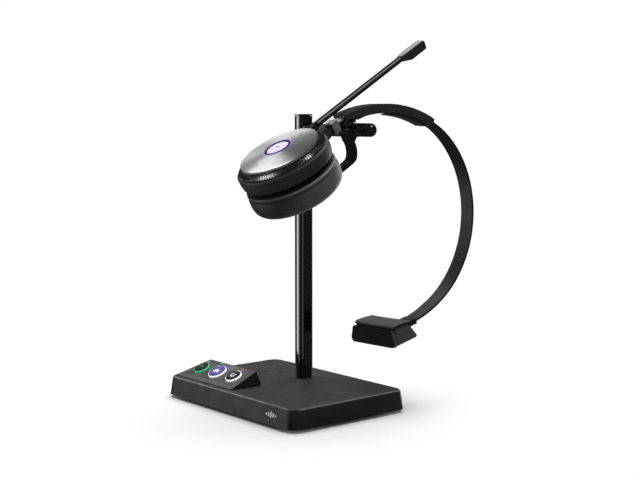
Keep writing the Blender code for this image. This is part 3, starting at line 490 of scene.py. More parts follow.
def to_mesh(name, shape):
    bmesh.ops.recalc_face_normals(shape, faces=shape.faces)
    mesh = bpy.data.meshes.new(name)
    shape.to_mesh(mesh)
    shape.free()
    return mesh


def eased(points, radius, steps=4):
    """Rounds the corners of a 2D outline, never using more than 0.45 of a side."""
    count = len(points)
    result = []
    for i, point in enumerate(points):
        here = Vector(point)
        before = Vector(points[i - 1]) - here
        after = Vector(points[(i + 1) % count]) - here
        cut = min(radius, 0.45 * before.length, 0.45 * after.length)
        start = here + before.normalized() * cut
        end = here + after.normalized() * cut
        for k in range(steps + 1):
            t = k / steps
            result.append(start * (1 - t) ** 2 + here * 2 * t * (1 - t) + end * t ** 2)
    return result


def turned(name, profile, sides=96, closed=True, ripple=None):
    """A (radius, height) profile in millimetres turned about z.

    A profile that starts and ends on the axis isn't closed.  ripple(k, side) adds to the
    radius of profile point k on one side of the circle.
    """
    shape = bmesh.new()
    rows = []
    for side in range(sides):
        a = 2 * math.pi * side / sides
        row = []
        for k, (radius, height) in enumerate(profile):
            r = radius + (ripple(k, side) if ripple else 0.0)
            row.append(shape.verts.new((r * math.sin(a) * MM, r * math.cos(a) * MM, height * MM)))
        rows.append(row)
    last = len(profile) if closed else len(profile) - 1
    for side in range(sides):
        here, following = rows[side], rows[(side + 1) % sides]
        for k in range(last):
            n = (k + 1) % len(profile)
            shape.faces.new((here[k], here[n], following[n], following[k]))
    bmesh.ops.remove_doubles(shape, verts=shape.verts, dist=1e-7)
    bmesh.ops.dissolve_degenerate(shape, edges=shape.edges, dist=1e-7)
    return to_mesh(name, shape)


def prism(name, ends, corner=0.0):
    """Two like outlines of 3D points in metres joined into a solid, with rounded edges."""
    shape = bmesh.new()
    near, far = [[shape.verts.new(point) for point in end] for end in ends]
    shape.faces.new(near)
    shape.faces.new(far)
    for i, point in enumerate(near):
        n = (i + 1) % len(near)
        shape.faces.new((point, near[n], far[n], far[i]))
    if corner:
        bmesh.ops.recalc_face_normals(shape, faces=shape.faces)
        bmesh.ops.bevel(shape, geom=list(shape.edges), offset=corner * MM, segments=3, affect="EDGES",
                        profile=0.6)
    return to_mesh(name, shape)


def slab(name, outline, low, high):
    """A 2D outline in the local XY plane made solid between two heights."""
    return prism(name, [[(x * MM, y * MM, z * MM) for x, y in outline] for z in (low, high)])


def combined(meshes, name):
    shape = bmesh.new()
    for mesh in meshes:
        shape.from_mesh(mesh)
    return to_mesh(name, shape)


def slabs(name, outlines, low, high):
    """Several outlines made solid between two heights, as one mesh."""
    return combined([slab("part", outline, low, high) for outline in outlines], name)


# ---------------------------------------------------------------- 2D outlines
def circle(radius, centre=(0.0, 0.0), steps=20, start=0.0, end=360.0):
    full = abs(end - start) >= 360.0
    count = steps if full else steps + 1
    angles = [math.radians(start + (end - start) * i / steps) for i in range(count)]
    return [(centre[0] + radius * math.cos(a), centre[1] + radius * math.sin(a)) for a in angles]


def arc_stroke(radius, width, centre, start, end, steps=16):
    outer = circle(radius + width / 2, centre, steps, start, end)
    inner = circle(radius - width / 2, centre, steps, start, end)
    return outer + inner[::-1]


def line_stroke(x0, y0, x1, y1, width):
    along = Vector((x1 - x0, y1 - y0)).normalized()
    side = Vector((-along.y, along.x)) * width / 2
    a, b = Vector((x0, y0)), Vector((x1, y1))
    return [a + side, a - side, b - side, b + side]


def rectangle(x0, y0, x1, y1):
    return [(x0, y0), (x1, y0), (x1, y1), (x0, y1)]


def moved(outline, x, y):
    return [(p[0] + x, p[1] + y) for p in outline]


# ---------------------------------------------------------------- ear cup
# Radii from the cup's turning axis and heights from the disc's rim, in millimetres.
DISC_RADIUS = 29.2
DISC_CROWN = 2.6
DISC_HOLE = 9.9
DISC_FLAT_END = 28.5
DISC_THICKNESS = 1.4
DISC_STEPS = 22
LIGHT_INNER, LIGHT_OUTER = 8.3, 9.8
LIGHT_FOOT = 0.9


def dome(radius):
    return DISC_CROWN * (1 - (radius / DISC_RADIUS) ** 2)


def build_disc():
    """Domed disc with a rolled rim round a hole, and the ring light that fills the hole."""
    radii = [DISC_HOLE + (DISC_FLAT_END - DISC_HOLE) * i / DISC_STEPS for i in range(DISC_STEPS + 1)]
    top = [(radius, dome(radius)) for radius in radii]
    lip = [(DISC_HOLE, dome(DISC_HOLE) - 0.15), (10.0, dome(10.0) - 0.02)]
    rim = [(28.8, dome(28.8) - 0.02), (29.05, -0.18), (DISC_RADIUS, -0.5), (DISC_RADIUS, -1.7),
           (29.0, -1.9), (27.6, -1.9)]
    under = [(radius, height - DISC_THICKNESS) for radius, height in reversed(top)]
    mesh = turned("outer_disc", lip + top[1:] + rim + under, 192)
    piece("outer_disc", mesh, "disc_silver", "ear_cup", CUP, ["cup_disc"])
    crown = dome(9.0)
    light = [(LIGHT_INNER, crown - 0.2), (8.45, crown + 0.2), (9.0, crown + 0.4), (9.6, crown + 0.2),
             (LIGHT_OUTER, crown - 0.2), (LIGHT_OUTER, LIGHT_FOOT), (LIGHT_INNER, LIGHT_FOOT)]
    piece("ring_light", turned("ring_light", light, 128), "purple_light", "ear_cup", CUP, ["led_ring"])


def build_centre_button():
    """Low domed button on a stem, with a small handset on its face."""
    face = [(0.0, 2.44), (3.0, 2.42), (5.5, 2.36), (7.2, 2.22), (7.8, 2.08), (8.05, 1.9), (8.15, 1.6)]
    stem = [(8.15, 0.8), (1.8, 0.8), (1.8, -6.0), (0.0, -6.0)]
    mesh = turned("call_disc_button", face + stem, 128, closed=False)
    piece("call_disc_button", mesh, "button_silver", "centre_button", CUP, ["multifunction_button"])
    symbol = slabs("centre_symbol", handset_icon(4.2), 2.42, 2.47)
    piece("centre_symbol", symbol, "boom_black", "centre_button", CUP, finish=MARK)


# Middle of each mark on the disc, and its strokes.
PLUS = ((4.0, 19.2), ((-0.9, 0, 0.9, 0), (0, -0.9, 0, 0.9)))
MINUS = ((-0.3, -21.7), ((-1.0, 0, 1.0, 0),))
PIN_HOLES = ((1.7, 13.4), (7.0, 18.4), (2.6, -22.6))
PIN_RADIUS = 0.36
STROKE_WIDTH = 0.3
MARK_ROOT = 0.2


def build_disc_marks():
    """A plus and a minus pressed into the disc, and three pin holes."""
    marks = []
    for (x, y), strokes in (PLUS, MINUS):
        height = dome(math.hypot(x, y))
        for stroke in strokes:
            outline = moved(line_stroke(*stroke, STROKE_WIDTH), x, y)
            marks.append(slab("stroke", outline, height - MARK_ROOT, height + 0.08))
    piece("volume_marks", combined(marks, "volume_marks"), "boom_black", "ear_cup", CUP, finish=MARK)
    holes = []
    for x, y in PIN_HOLES:
        height = dome(math.hypot(x, y))
        holes.append(slab("hole", circle(PIN_RADIUS, (x, y), 14), height - MARK_ROOT, height + 0.03))
    piece("microphone_holes", combined(holes, "microphone_holes"), "inner_black", "ear_cup", CUP)


TEETH = 104
# How the radius changes over the four sides that make one tooth.
TOOTH = (0.42, 0.42, -0.42, -0.42)
TOOTHED_POINTS = (3, 4, 5)


def build_boom_ring():
    """Black ring with teeth all round its sloping side, and the root of the boom's arm."""
    profile = [(24.4, -2.3), (29.1, -2.3), (29.5, -2.45), (30.0, -2.85), (31.6, -4.15), (32.3, -4.75),
               (32.75, -5.0), (32.8, -5.2), (24.4, -5.2)]

    def ripple(k, side):
        return TOOTH[side % 4] if k in TOOTHED_POINTS else 0.0

    ring = turned("knurled_ring", profile, TEETH * 4, ripple=ripple)
    root = [(-2.6, 30.2), (-2.2, 36.6), (-1.7, 37.0), (1.7, 37.0), (2.2, 36.6), (2.6, 30.2)]
    mesh = combined([ring, slab("arm_root", root, -5.1, -0.35)], "knurled_ring")
    whole = piece("knurled_ring", mesh, "boom_black", "boom", CUP, ["boom_ring"], smooth=25)
    round_edges(whole, 0.12, 50)


def build_mic_top():
    """Pale inlay let into the outer face of the microphone head."""
    outline = eased([(-2.3, 131.2), (2.3, 131.2), (3.3, 136.5), (3.3, 155.4), (-3.3, 155.4),
                     (-3.3, 136.5)], 0.8)
    piece("mic_inlay", slab("mic_inlay", outline, -0.9, 0.14), "mic_grey", "boom", CUP, finish=PALE)


# ---------------------------------------------------------------- icons
# Each icon is drawn about its middle, in a square of four units, and scaled to its size.
ICON_UNITS = 4.0


def handset_icon(size):
    """An upturned telephone handset: two ear pieces joined by a curved grip."""
    s = size / ICON_UNITS
    grip = arc_stroke(1.55 * s, 0.55 * s, (0.0, -0.5 * s), 35, 145, 12)
    left = eased([(-1.85 * s, -0.15 * s), (-0.75 * s, -0.15 * s), (-0.85 * s, 0.55 * s),
                  (-1.85 * s, 0.55 * s)], 0.15 * s, 2)
    right = [(-x, y) for x, y in left]
    return [grip, left, right]


def people_icon(size):
    """Three people: one head and shoulders in front, two behind."""
    s = size / ICON_UNITS
    shapes = [circle(0.62 * s, (0.0, 0.75 * s), 18),
              [(1.15 * s, -1.1 * s)] + circle(1.15 * s, (0.0, -1.1 * s), 14, 0, 180)]
    for side in (-1, 1):
        shapes.append(circle(0.42 * s, (side * 1.45 * s, 0.45 * s), 14))
        shapes.append(circle(0.62 * s, (side * 1.75 * s, -1.1 * s), 10, 0, 180))
    return shapes


def monitor_icon(size):
    """A screen drawn as a frame, with a stand under it."""
    s = size / ICON_UNITS
    w, h, t = 1.7 * s, 1.15 * s, 0.3 * s
    return [rectangle(-w, h, w, h - t), rectangle(-w, -h + t, w, -h), rectangle(-w, h, -w + t, -h),
            rectangle(w - t, h, w, -h), rectangle(-0.9 * s, -1.75 * s, 0.9 * s, -1.5 * s)]


def microphone_off_icon(size):
    """A microphone in its holder with a line across it."""
    s = size / ICON_UNITS
    capsule = eased(rectangle(-0.5 * s, -0.3 * s, 0.5 * s, 1.6 * s), 0.5 * s)
    holder = arc_stroke(1.0 * s, 0.3 * s, (0.0, 0.0), 200, 340, 10)
    slash = line_stroke(-1.5 * s, -1.5 * s, 1.5 * s, 1.7 * s, 0.32 * s)
    return [capsule, holder, slash, line_stroke(0, -1.0 * s, 0, -1.7 * s, 0.3 * s)]


def headset_icon(size):
    """A band over two ear cups."""
    s = size / ICON_UNITS
    band = arc_stroke(1.4 * s, 0.3 * s, (0.0, -0.1 * s), 0, 180, 14)
    cups = [eased(rectangle(x * s, -1.2 * s, x * s + 0.65 * s, 0.1 * s), 0.2 * s, 2) for x in (-1.75, 1.1)]
    return [band] + cups


# ---------------------------------------------------------------- call buttons
# Radius in millimetres, slots of the ring and the key, icon and its finish.
BUTTONS = {
    "phone": (6.3, "green_light", "phone_key", handset_icon, GREEN_ICON),
    "meeting": (7.1, "white_light", "meeting_key", people_icon, ICON),
    "desktop": (6.3, "white_light", "desktop_key", monitor_icon, ICON),
}
RIM = 1.0
GLOW = 0.45
GAP = 0.3
STEM = 1.7
DISH_DEPTH = 0.22
DISH_FLOOR = 1.72
ICON_SHARE = 0.78


def build_call_button(label):
    """A dished key in a dark bezel, with a glowing ring round the outside."""
    radius, glow, key, icon, icon_finish = BUTTONS[label]
    place = slope_frame(label + "_light_ring", 0.75)
    inner, glow_inner = radius - RIM, radius - GLOW
    ring, bezel = label + "_glow_ring", label + "_bezel"
    cap, symbol = label + "_key_cap", label + "_symbol"
    ring_outline = eased(rectangle(glow_inner, 1.3, radius, -3.0), 0.2, 3)
    piece(ring, turned(ring, ring_outline), glow, "stand", place, [label + "_light_ring"])
    bezel_outline = eased(rectangle(inner, 1.5, glow_inner, -2.9), 0.15, 3)
    piece(bezel, turned(bezel, bezel_outline), key, "stand", place)
    edge = inner - GAP
    dish = [(edge * t, DISH_FLOOR + DISH_DEPTH * t * t) for t in (0.0, 0.2, 0.4, 0.6, 0.75, 0.86)]
    side = [(edge - 0.28, 1.9), (edge - 0.08, 1.78), (edge, 1.5), (edge, -1.2)]
    stem = [(STEM, -1.2), (STEM, -2.6), (0.0, -2.6)]
    body = label + "_button"
    mesh = turned(cap, dish + side + stem, closed=False)
    piece(cap, mesh, key, body, place, [label + "_call_button"])
    mesh = slabs(symbol, icon(radius * ICON_SHARE), 1.70, 1.93)
    piece(symbol, mesh, "white_light", body, place, finish=icon_finish)


LIGHT_SYMBOLS = {"phone_status_light": headset_icon, "mute_status_light": microphone_off_icon}
SYMBOL_SIZE = 2.6
SYMBOL_DROP = 3.2


def build_slope_icons():
    """A small sign just below each status light."""
    for light, icon in LIGHT_SYMBOLS.items():
        name = light + "_symbol"
        outlines = [moved(outline, 0.0, -SYMBOL_DROP) for outline in icon(SYMBOL_SIZE)]
        mesh = slabs(name, outlines, -0.15, 0.03)
        piece(name, mesh, "white_light", "stand", slope_frame(light, 0.7), finish=DIM_ICON)


MARK_X = 0.0530
MARK_MIDDLE = 7.2
FRONT_TILT = 90 - 6
BAR_HEIGHTS = (1.6, 3.0, 4.4, 3.0, 1.6)
BAR_PITCH = 2.6
BAR_HALF = 0.55


def build_front_mark():
    """Five small bars, like a sound level, on the sloping front of the base."""
    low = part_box("base_top_shell")[0]
    front = Matrix.Translation((MARK_X, low.y, low.z)) @ Matrix.Rotation(math.radians(FRONT_TILT), 4, "X")
    bars = []
    for number, height in enumerate(BAR_HEIGHTS):
        x = (number - 2) * BAR_PITCH
        bars.append(eased(rectangle(x - BAR_HALF, MARK_MIDDLE - height / 2, x + BAR_HALF,
                                    MARK_MIDDLE + height / 2), 0.5))
    piece("front_mark", slabs("front_mark", bars, -0.3, 0.04), "white_light", "stand", front,
          finish=DIM_ICON)


# ---------------------------------------------------------------- hanger bar
BORE = 2.8
INNER_BORE_DEPTH = 15.0
OUTER_BORE_DEPTH = 8.5
SPIGOT = 2.5
SPIGOT_LENGTH = 8.0
NOSE = 3.0


def build_bar():
    """Bar bored from both ends, and the cap with a rounded nose in its outer end."""
    low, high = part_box("hanger_bar")
    length = (high.x - low.x) / MM
    radius = (high.z - low.z) / 2 / MM
    floor = length - OUTER_BORE_DEPTH
    tube = eased([(radius, 0.0), (radius, length), (BORE, length), (BORE, floor), (0.02, floor),
                  (0.02, INNER_BORE_DEPTH), (BORE, INNER_BORE_DEPTH), (BORE, 0.0)], 0.25, 3)
    piece("round_bar", turned("round_bar", tube), "gloss_bar", "stand", rod_frame("hanger_bar"),
          ["hanger_bar"])
    low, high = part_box("bar_end_cap")
    length = (high.x - low.x) / MM
    outer = radius - 0.15
    angles = [math.radians(a) for a in range(0, 91, 9)]
    nose = [(outer - NOSE + NOSE * math.cos(a), length - NOSE + NOSE * math.sin(a)) for a in angles]
    profile = [(0.0, 0.0), (SPIGOT, 0.0), (SPIGOT, SPIGOT_LENGTH), (outer - 0.25, SPIGOT_LENGTH),
               (outer, SPIGOT_LENGTH + 0.25)] + nose + [(0.0, length)]
    piece("bar_tip", turned("bar_tip", profile, closed=False), "gloss_bar", "stand",
          rod_frame("bar_end_cap"), ["bar_end_cap"])


# ---------------------------------------------------------------- soft pieces
CLOTH_SCALE = 10.0
CLOTH_FRAMES = 20
CLOTH_PRESSURE = 4.0
CLOTH = {"quality": 6, "mass": 0.3, "tension_stiffness": 25.0, "compression_stiffness": 25.0,
         "shear_stiffness": 10.0, "bending_stiffness": 0.8}


def evaluated_mesh(thing):
    bpy.context.view_layer.update()
    depsgraph = bpy.context.evaluated_depsgraph_get()
    return bpy.data.meshes.new_from_object(thing.evaluated_get(depsgraph))


def settled(thing, voxel, cap, pinned):
    """Fills a closed form with air by cloth simulation and keeps the result.

    The form is simulated at ten times its size, because cloth is steadier there.
    pinned(co) is 1 where the cover is fixed; cap is how far a point may move.
    """
    mesh = thing.data
    shape = bmesh.new()
    shape.from_mesh(mesh)
    bmesh.ops.scale(shape, vec=(CLOTH_SCALE,) * 3, verts=shape.verts)
    temporary = bpy.data.meshes.new("temporary")
    shape.to_mesh(temporary)
    shape.free()
    double = bpy.data.objects.new("temporary", temporary)
    bpy.context.scene.collection.objects.link(double)
    remesh = double.modifiers.new("remesh", "REMESH")
    remesh.mode = "VOXEL"
    remesh.voxel_size = voxel * CLOTH_SCALE
    remeshed = evaluated_mesh(double)
    double.modifiers.clear()
    double.data = remeshed
    group = double.vertex_groups.new(name="fixed")
    rest = [v.co.copy() for v in remeshed.vertices]
    for vertex in remeshed.vertices:
        group.add([vertex.index], pinned(vertex.co / CLOTH_SCALE), "REPLACE")
    settings = double.modifiers.new("cloth", "CLOTH").settings
    for key, value in CLOTH.items():
        setattr(settings, key, value)
    settings.use_pressure = True
    settings.uniform_pressure_force = CLOTH_PRESSURE
    settings.vertex_group_mass = "fixed"
    settings.effector_weights.gravity = 0.0
    scene = bpy.context.scene
    for number in range(1, CLOTH_FRAMES + 1):
        scene.frame_set(number)
    swollen = evaluated_mesh(double)
    for vertex, start in zip(swollen.vertices, rest):
        move = vertex.co - start
        if move.length > cap * CLOTH_SCALE:
            move = move.normalized() * cap * CLOTH_SCALE
        vertex.co = (start + move) / CLOTH_SCALE
    scene.frame_set(1)
    bpy.data.objects.remove(double)
    finish = mesh.materials[0]
    thing.data = swollen
    swollen.materials.clear()
    swollen.materials.append(finish)
    swollen.shade_smooth()
    finer = thing.modifiers.new("finer", "SUBSURF")
    finer.levels = finer.render_levels = 1


def smoothstep(value, start, end):
    t = min(1.0, max(0.0, (value - start) / (end - start)))
    return t * t * (3 - 2 * t)


SEAM_HEIGHT = -22.7
SEAM_HALF = 0.55
SEAM_DEPTH = 0.75
INNER_PUCKER = 0.28
OUTER_PUCKER = 0.07
PUCKERS_ROUND = 9.0
LIP_UNDERSIDE = -0.0212


def build_ear_cushion():
    """Leatherette ring: a turned-over lip, a sewn seam and a soft roll round the ear."""
    lip = [(13.2, -19.3), (33.0, -19.3), (33.7, -20.2), (33.8, -21.6), (33.4, -22.7)]
    roll = [(33.9, -24.0), (34.1, -27.0), (34.0, -30.6), (33.3, -33.8), (31.8, -36.0), (29.5, -37.6),
            (26.5, -38.6), (22.0, -38.8), (17.5, -37.4), (14.2, -34.2), (13.0, -28.5)]
    mesh = turned("ear_pad", eased(lip + roll, 1.0, 3), 150)
    cushion = piece("ear_pad", mesh, "ear_leatherette", "ear_cup", CUP, ["ear_cushion"])
    settled(cushion, 1.4 * MM, 0.35 * MM, lambda co: 1.0 if co.z > LIP_UNDERSIDE else 0.0)
    for vertex in cushion.data.vertices:
        radius = math.hypot(vertex.co.x, vertex.co.y) / MM
        height = vertex.co.z / MM
        angle = math.atan2(vertex.co.x, vertex.co.y)
        outside = smoothstep(radius, 30.0, 33.0)
        seam = math.exp(-((height - SEAM_HEIGHT) / SEAM_HALF) ** 2)
        pull = SEAM_DEPTH * seam * outside
        puckers = noise.noise(Vector((PUCKERS_ROUND * math.sin(angle), PUCKERS_ROUND * math.cos(angle),
                                      height * 0.12)))
        inner = 1.0 - smoothstep(radius, 15.0, 24.0)
        pull += (INNER_PUCKER * inner + OUTER_PUCKER) * puckers * smoothstep(-height, 20.5, 26.0)
        factor = (radius - pull) / max(radius, 1.0)
        vertex.co.x *= factor
        vertex.co.y *= factor


PAD_HALF = 24.9
PAD_CORNER = 0.6
PAD_WAVE = 0.10
# The pad's underside, where the cover is fixed, in metres: height at its front edge and slope.
PAD_FRONT = -0.022
PAD_FIXED_HEIGHT = 0.0042
PAD_FIXED_SLOPE = 0.2


def build_pad():
    """Cushion over the far pad's carrier, with a lip turned down over the front."""
    outline = [(-22.0, 2.1), (-20.0, 3.5), (-8.0, 5.9), (-6.0, 6.3), (-6.2, 7.8), (-14.0, 6.9),
               (-21.2, 5.4), (-22.8, 4.2), (-22.9, 2.7)]
    ends = [[(x * MM, y * MM, z * MM) for y, z in outline] for x in (-PAD_HALF, PAD_HALF)]
    mesh = prism("temple_pad", ends, PAD_CORNER)
    cushion = piece("temple_pad", mesh, "pad_cushion", "t_pad", PAD, ["t_pad_cushion"])
    settled(cushion, 0.75 * MM, 0.25 * MM,
            lambda co: 1.0 if co.z < PAD_FIXED_HEIGHT - PAD_FIXED_SLOPE * (PAD_FRONT - co.y) else 0.0)
    for vertex in cushion.data.vertices:
        x, y, z = vertex.co / MM
        wave = noise.noise(Vector((x * 0.22, y * 0.35, 3.0))) * PAD_WAVE
        vertex.co.z += wave * smoothstep(z, 4.5, 6.0) * MM


# ---------------------------------------------------------------- head liner
LINER_CENTRE = (54.0, 114.65)
SLEEVE_RADIUS = 106.3
LINER_HEADINGS = (-2.5, -23.7)
LINER_LENGTH = 37.0
LINER_HALF = 6.3
LINER_STEPS, LINER_ACROSS = 44, 14
BACK_DEPTH, FACE_DEPTH = 4.05, 4.15
SWELL, SWELL_WIDTH = 1.15, 1.1
STITCH_INSET, STITCH_HALF, STITCH_DEPTH = 1.7, 0.35, 0.35


def liner_face(from_edge):
    """Radius of the foam's face at a distance from its nearest edge."""
    edge = min(1.0, from_edge / SWELL_WIDTH)
    swell = math.sqrt(max(0.0, 1 - (1 - edge) ** 2))
    stitch = math.exp(-((from_edge - STITCH_INSET) / STITCH_HALF) ** 2)
    return SLEEVE_RADIUS - FACE_DEPTH - SWELL * swell + STITCH_DEPTH * stitch


def build_liner():
    """Thin foam strip under the sleeve, quilted by a line of stitching round its edge."""
    start, end = LINER_HEADINGS
    shape = bmesh.new()
    back_rows, face_rows = [], []
    for i in range(LINER_STEPS + 1):
        t = i / LINER_STEPS
        a = math.radians(start + (end - start) * t)
        near_end = min(t, 1 - t) * LINER_LENGTH
        back, face = [], []
        for k in range(LINER_ACROSS + 1):
            x = -LINER_HALF + 2 * LINER_HALF * k / LINER_ACROSS
            near_side = LINER_HALF - abs(x)
            for radius, row in ((liner_face(min(near_end, near_side)), face),
                                (SLEEVE_RADIUS - BACK_DEPTH, back)):
                row.append(shape.verts.new((x * MM, radius * math.sin(-a) * MM, radius * math.cos(a) * MM)))
        back_rows.append(back)
        face_rows.append(face)
    for rows in (back_rows, face_rows):
        for row, following in zip(rows, rows[1:]):
            for k in range(LINER_ACROSS):
                shape.faces.new((row[k], row[k + 1], following[k + 1], following[k]))
    rim = ([(back_rows[i][0], face_rows[i][0]) for i in range(LINER_STEPS + 1)]
           + [(back_rows[-1][k], face_rows[-1][k]) for k in range(1, LINER_ACROSS + 1)]
           + [(back_rows[i][-1], face_rows[i][-1]) for i in range(LINER_STEPS - 1, -1, -1)]
           + [(back_rows[0][k], face_rows[0][k]) for k in range(LINER_ACROSS - 1, 0, -1)])
    for (a, b), (c, d) in zip(rim, rim[1:] + rim[:1]):
        shape.faces.new((a, b, d, c))
    place = Matrix.Translation((HEADSET_X, LINER_CENTRE[0] * MM, LINER_CENTRE[1] * MM))
    liner = piece("sleeve_liner", to_mesh("sleeve_liner", shape), "liner_foam", "headband", place,
                  ["head_liner"])


# ---------------------------------------------------------------- stage
FLOOR_HALF = 3.0
SKY_RADIUS = 2.9
FADE_START, FADE_END = 0.07, 0.17
WHITE = (1.0, 1.0, 1.0, 1.0)


def backdrop(name, mesh, finish):
    """An object that the camera sees and that neither lights nor shades the part."""
    thing = bpy.data.objects.new(name, mesh)
    bpy.context.scene.collection.objects.link(thing)
    mesh.materials.append(finish.material)
    for flag in ("visible_diffuse", "visible_glossy", "visible_transmission", "visible_shadow"):
        setattr(thing, flag, False)
    return thing


def build_stage():
    """White paper that takes the shadow near the stand and glows further out, in a white room."""
    paper = Finish("floor_paper", (0.97, 0.97, 0.97), 0.9)
    paper.tint(paper.spots(3.0), 0.99, 1.01)
    reach = paper.node("ShaderNodeVectorMath", "LENGTH", _0=paper.place)
    fade = paper.node("ShaderNodeMapRange", Value=reach.outputs["Value"], From_Min=FADE_START,
                      From_Max=FADE_END)
    fade.interpolation_type = "SMOOTHSTEP"
    paper.blend_colour(fade.outputs["Result"], (0.0, 0.0, 0.0))
    paper.set("Emission Color", WHITE).set("Emission Strength", fade.outputs["Result"])
    floor_mesh = bpy.data.meshes.new("floor")
    corners = [(x, y, 0) for x, y in rectangle(-FLOOR_HALF, -FLOOR_HALF, FLOOR_HALF, FLOOR_HALF)]
    floor_mesh.from_pydata(corners, [], [(0, 1, 2, 3)])
    floor = backdrop("floor", floor_mesh, paper)
    glow = Finish("backdrop_paper", (0.0, 0.0, 0.0), 1.0)
    glow.set("Emission Color", WHITE)
    glow.set("Emission Strength", glow.between(glow.spots(0.4), 1.0, 1.03))
    ball = bmesh.new()
    bmesh.ops.create_uvsphere(ball, u_segments=48, v_segments=24, radius=SKY_RADIUS)
    sky = backdrop("backdrop", to_mesh("backdrop", ball), glow)
    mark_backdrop(floor, sky)


# ---------------------------------------------------------------- light
WORLD_STRENGTH = 0.09
GROUPS = {
    "metal": ["outer_disc", "call_disc_button", "slider_strip"],
    "post": ["post_tube", "post_top_cap"],
    "bar": ["round_bar", "bar_tip"],
    "ridges": ["knurled_ring"],
    "base": ["base_top_shell", "button_wedge_housing"],
    "ear_pad": ["ear_pad"],
    "carrier": ["t_pad_carrier"],
}
# Pieces without the general reflections: some have lamps of their own, the others stay dark.
SET_APART = {
    "outer_disc", "call_disc_button", *GROUPS["post"], *GROUPS["bar"], *GROUPS["ridges"],
    *GROUPS["carrier"], "boom_arm", "cradle_arm", "charging_saddle", "band_gland", "sleeve_shell",
}
# Name, place, aim, width, height, watts, whether it fills matt surfaces or shines as a
# reflection, and the one group it lights, or None for all.
LAMPS = (
    ("top_fill", (-0.15, 0.25, 1.5), (0.0, 0.0, 0.0), 1.6, 1.6, 32.0, "fill", None),
    ("front_fill", (-0.45, -1.3, 0.35), (0.0, 0.0, 0.1), 0.9, 0.6, 1.6, "fill", None),
    ("side_fill", (1.3, -0.1, 0.35), (0.0, 0.0, 0.12), 0.8, 0.8, 1.8, "fill", None),
    ("top_shine", (-0.35, 0.25, 1.1), (0.0, 0.0, 0.1), 1.2, 1.2, 3.6, "shine", "rest"),
    ("left_shine", (-0.66, -0.72, 0.05), (0.0, 0.02, 0.05), 0.42, 1.3, 2.4, "shine", "rest"),
    ("rim_shine", (-0.30, 1.15, 0.25), (0.0, 0.0, 0.15), 0.5, 1.2, 6.0, "shine", "rest"),
    ("disc_shine", (-0.46, -0.55, 1.0), (-0.38, -0.04, 0.19), 1.8, 0.36, 9.8, "shine", "metal"),
    ("disc_far", (-0.69, 0.33, 0.53), (0.048, -0.04, 0.19), 0.35, 0.25, 0.38, "shine", "metal"),
    ("post_shine", (-0.49, -0.84, 0.05), (0.0, 0.02, 0.05), 0.50, 1.3, 15.0, "shine", "post"),
    ("post_middle", (-0.12, -0.98, 0.05), (0.0, 0.02, 0.05), 0.36, 1.3, 5.5, "shine", "post"),
    ("post_side", (1.0, 0.0, -0.1), (0.0, 0.02, 0.0), 0.30, 1.5, 1.6, "shine", "post"),
    ("post_falloff", (0.20, -0.97, 0.05), (0.0, 0.02, 0.05), 0.4, 1.3, 1.0, "shine", "post"),
    ("post_rim", (-0.30, 1.15, 0.1), (0.0, 0.0, 0.1), 0.5, 1.3, 0.2, "shine", "post"),
    ("bar_shine", (0.75, 0.38, 0.75), (0.07, 0.02, 0.2), 0.35, 0.35, 3.0, "shine", "bar"),
    ("ridge_left", (-0.265, -0.834, 0.731), (0.048, -0.06, 0.18), 0.50, 0.25, 7.0, "shine", "ridges"),
    ("ridge_right", (0.273, -0.056, 1.153), (0.048, -0.06, 0.18), 0.18, 0.18, 2.5, "shine", "ridges"),
    ("base_front_edge", (-0.85, -0.22, 0.64), (0.0, 0.0, 0.0), 0.5, 0.5, 5.5, "shine", "base"),
    ("base_side_edge", (0.21, 0.67, 0.84), (0.0, 0.0, 0.0), 0.5, 0.5, 5.5, "shine", "base"),
    ("ear_pad_fill", (1.20, 0.60, 0.20), (0.05, 0.0, 0.12), 0.5, 0.5, 18.0, "fill", "ear_pad"),
    ("carrier_fill", (1.20, 0.60, 0.20), (0.05, 0.07, 0.05), 0.5, 0.5, 40.0, "fill", "carrier"),
    ("carrier_edge", (-0.80, -0.15, 0.62), (0.05, 0.06, 0.05), 0.4, 0.4, 1.6, "shine", "carrier"),
)


def group_of(names):
    """A collection outside the scene that lists the pieces one lamp shines on."""
    group = bpy.data.collections.new("lit_group")
    for name in names:
        group.objects.link(bpy.data.objects[name])
    return group


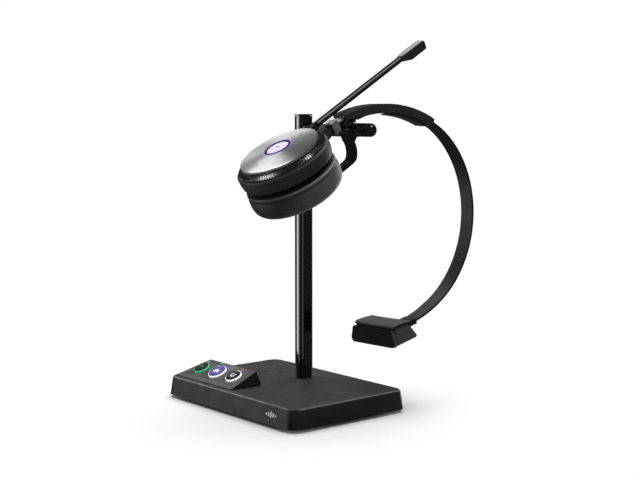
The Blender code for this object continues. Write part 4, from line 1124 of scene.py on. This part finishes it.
def softbox(name, place, aim, width, height, power, gives, group):
    """Area light that gives either fill or shine."""
    lamp = bpy.data.lights.new(name, "AREA")
    lamp.shape = "RECTANGLE"
    lamp.size = width
    lamp.size_y = height
    lamp.energy = power
    box = bpy.data.objects.new(name, lamp)
    bpy.context.scene.collection.objects.link(box)
    box.location = place
    box.rotation_euler = (Vector(aim) - Vector(place)).to_track_quat("-Z", "Y").to_euler()
    box.visible_camera = False
    box.visible_diffuse = gives == "fill"
    box.visible_glossy = gives == "shine"
    if group:
        box.light_linking.receiver_collection = group
    box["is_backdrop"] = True


def build_light():
    world = bpy.data.worlds.new("room")
    bpy.context.scene.world = world
    world.use_nodes = True
    background = world.node_tree.nodes["Background"]
    background.inputs["Color"].default_value = WHITE
    background.inputs["Strength"].default_value = WORLD_STRENGTH
    groups = {"rest": group_of([o.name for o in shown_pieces() if o.name not in SET_APART])}
    for label, names in GROUPS.items():
        groups[label] = group_of(names)
    for *lamp, group in LAMPS:
        softbox(*lamp, groups.get(group))
    bpy.context.scene.view_settings.view_transform = "Standard"


# ---------------------------------------------------------------- camera
CAMERA_PLACE = (0.7304, -0.5716, 0.2165)
CAMERA_DROP = 5.73
CAMERA_TURN = 50.28
CAMERA_LENS = 70.65


def build_camera():
    camera = bpy.data.objects.new("camera", bpy.data.cameras.new("camera"))
    bpy.context.scene.collection.objects.link(camera)
    camera.location = CAMERA_PLACE
    camera.rotation_euler = (math.radians(90 - CAMERA_DROP), 0.0, math.radians(CAMERA_TURN))
    camera.data.lens = CAMERA_LENS
    camera.data.sensor_width = 36.0
    camera.data.clip_start = 0.01
    bpy.context.scene.camera = camera


# ---------------------------------------------------------------- assembly
def main():
    dress_nodes()
    build_disc()
    build_centre_button()
    build_disc_marks()
    build_boom_ring()
    build_mic_top()
    for label in BUTTONS:
        build_call_button(label)
    build_slope_icons()
    build_front_mark()
    build_bar()
    build_ear_cushion()
    build_pad()
    build_liner()
    build_stage()
    build_light()
    build_camera()


main()
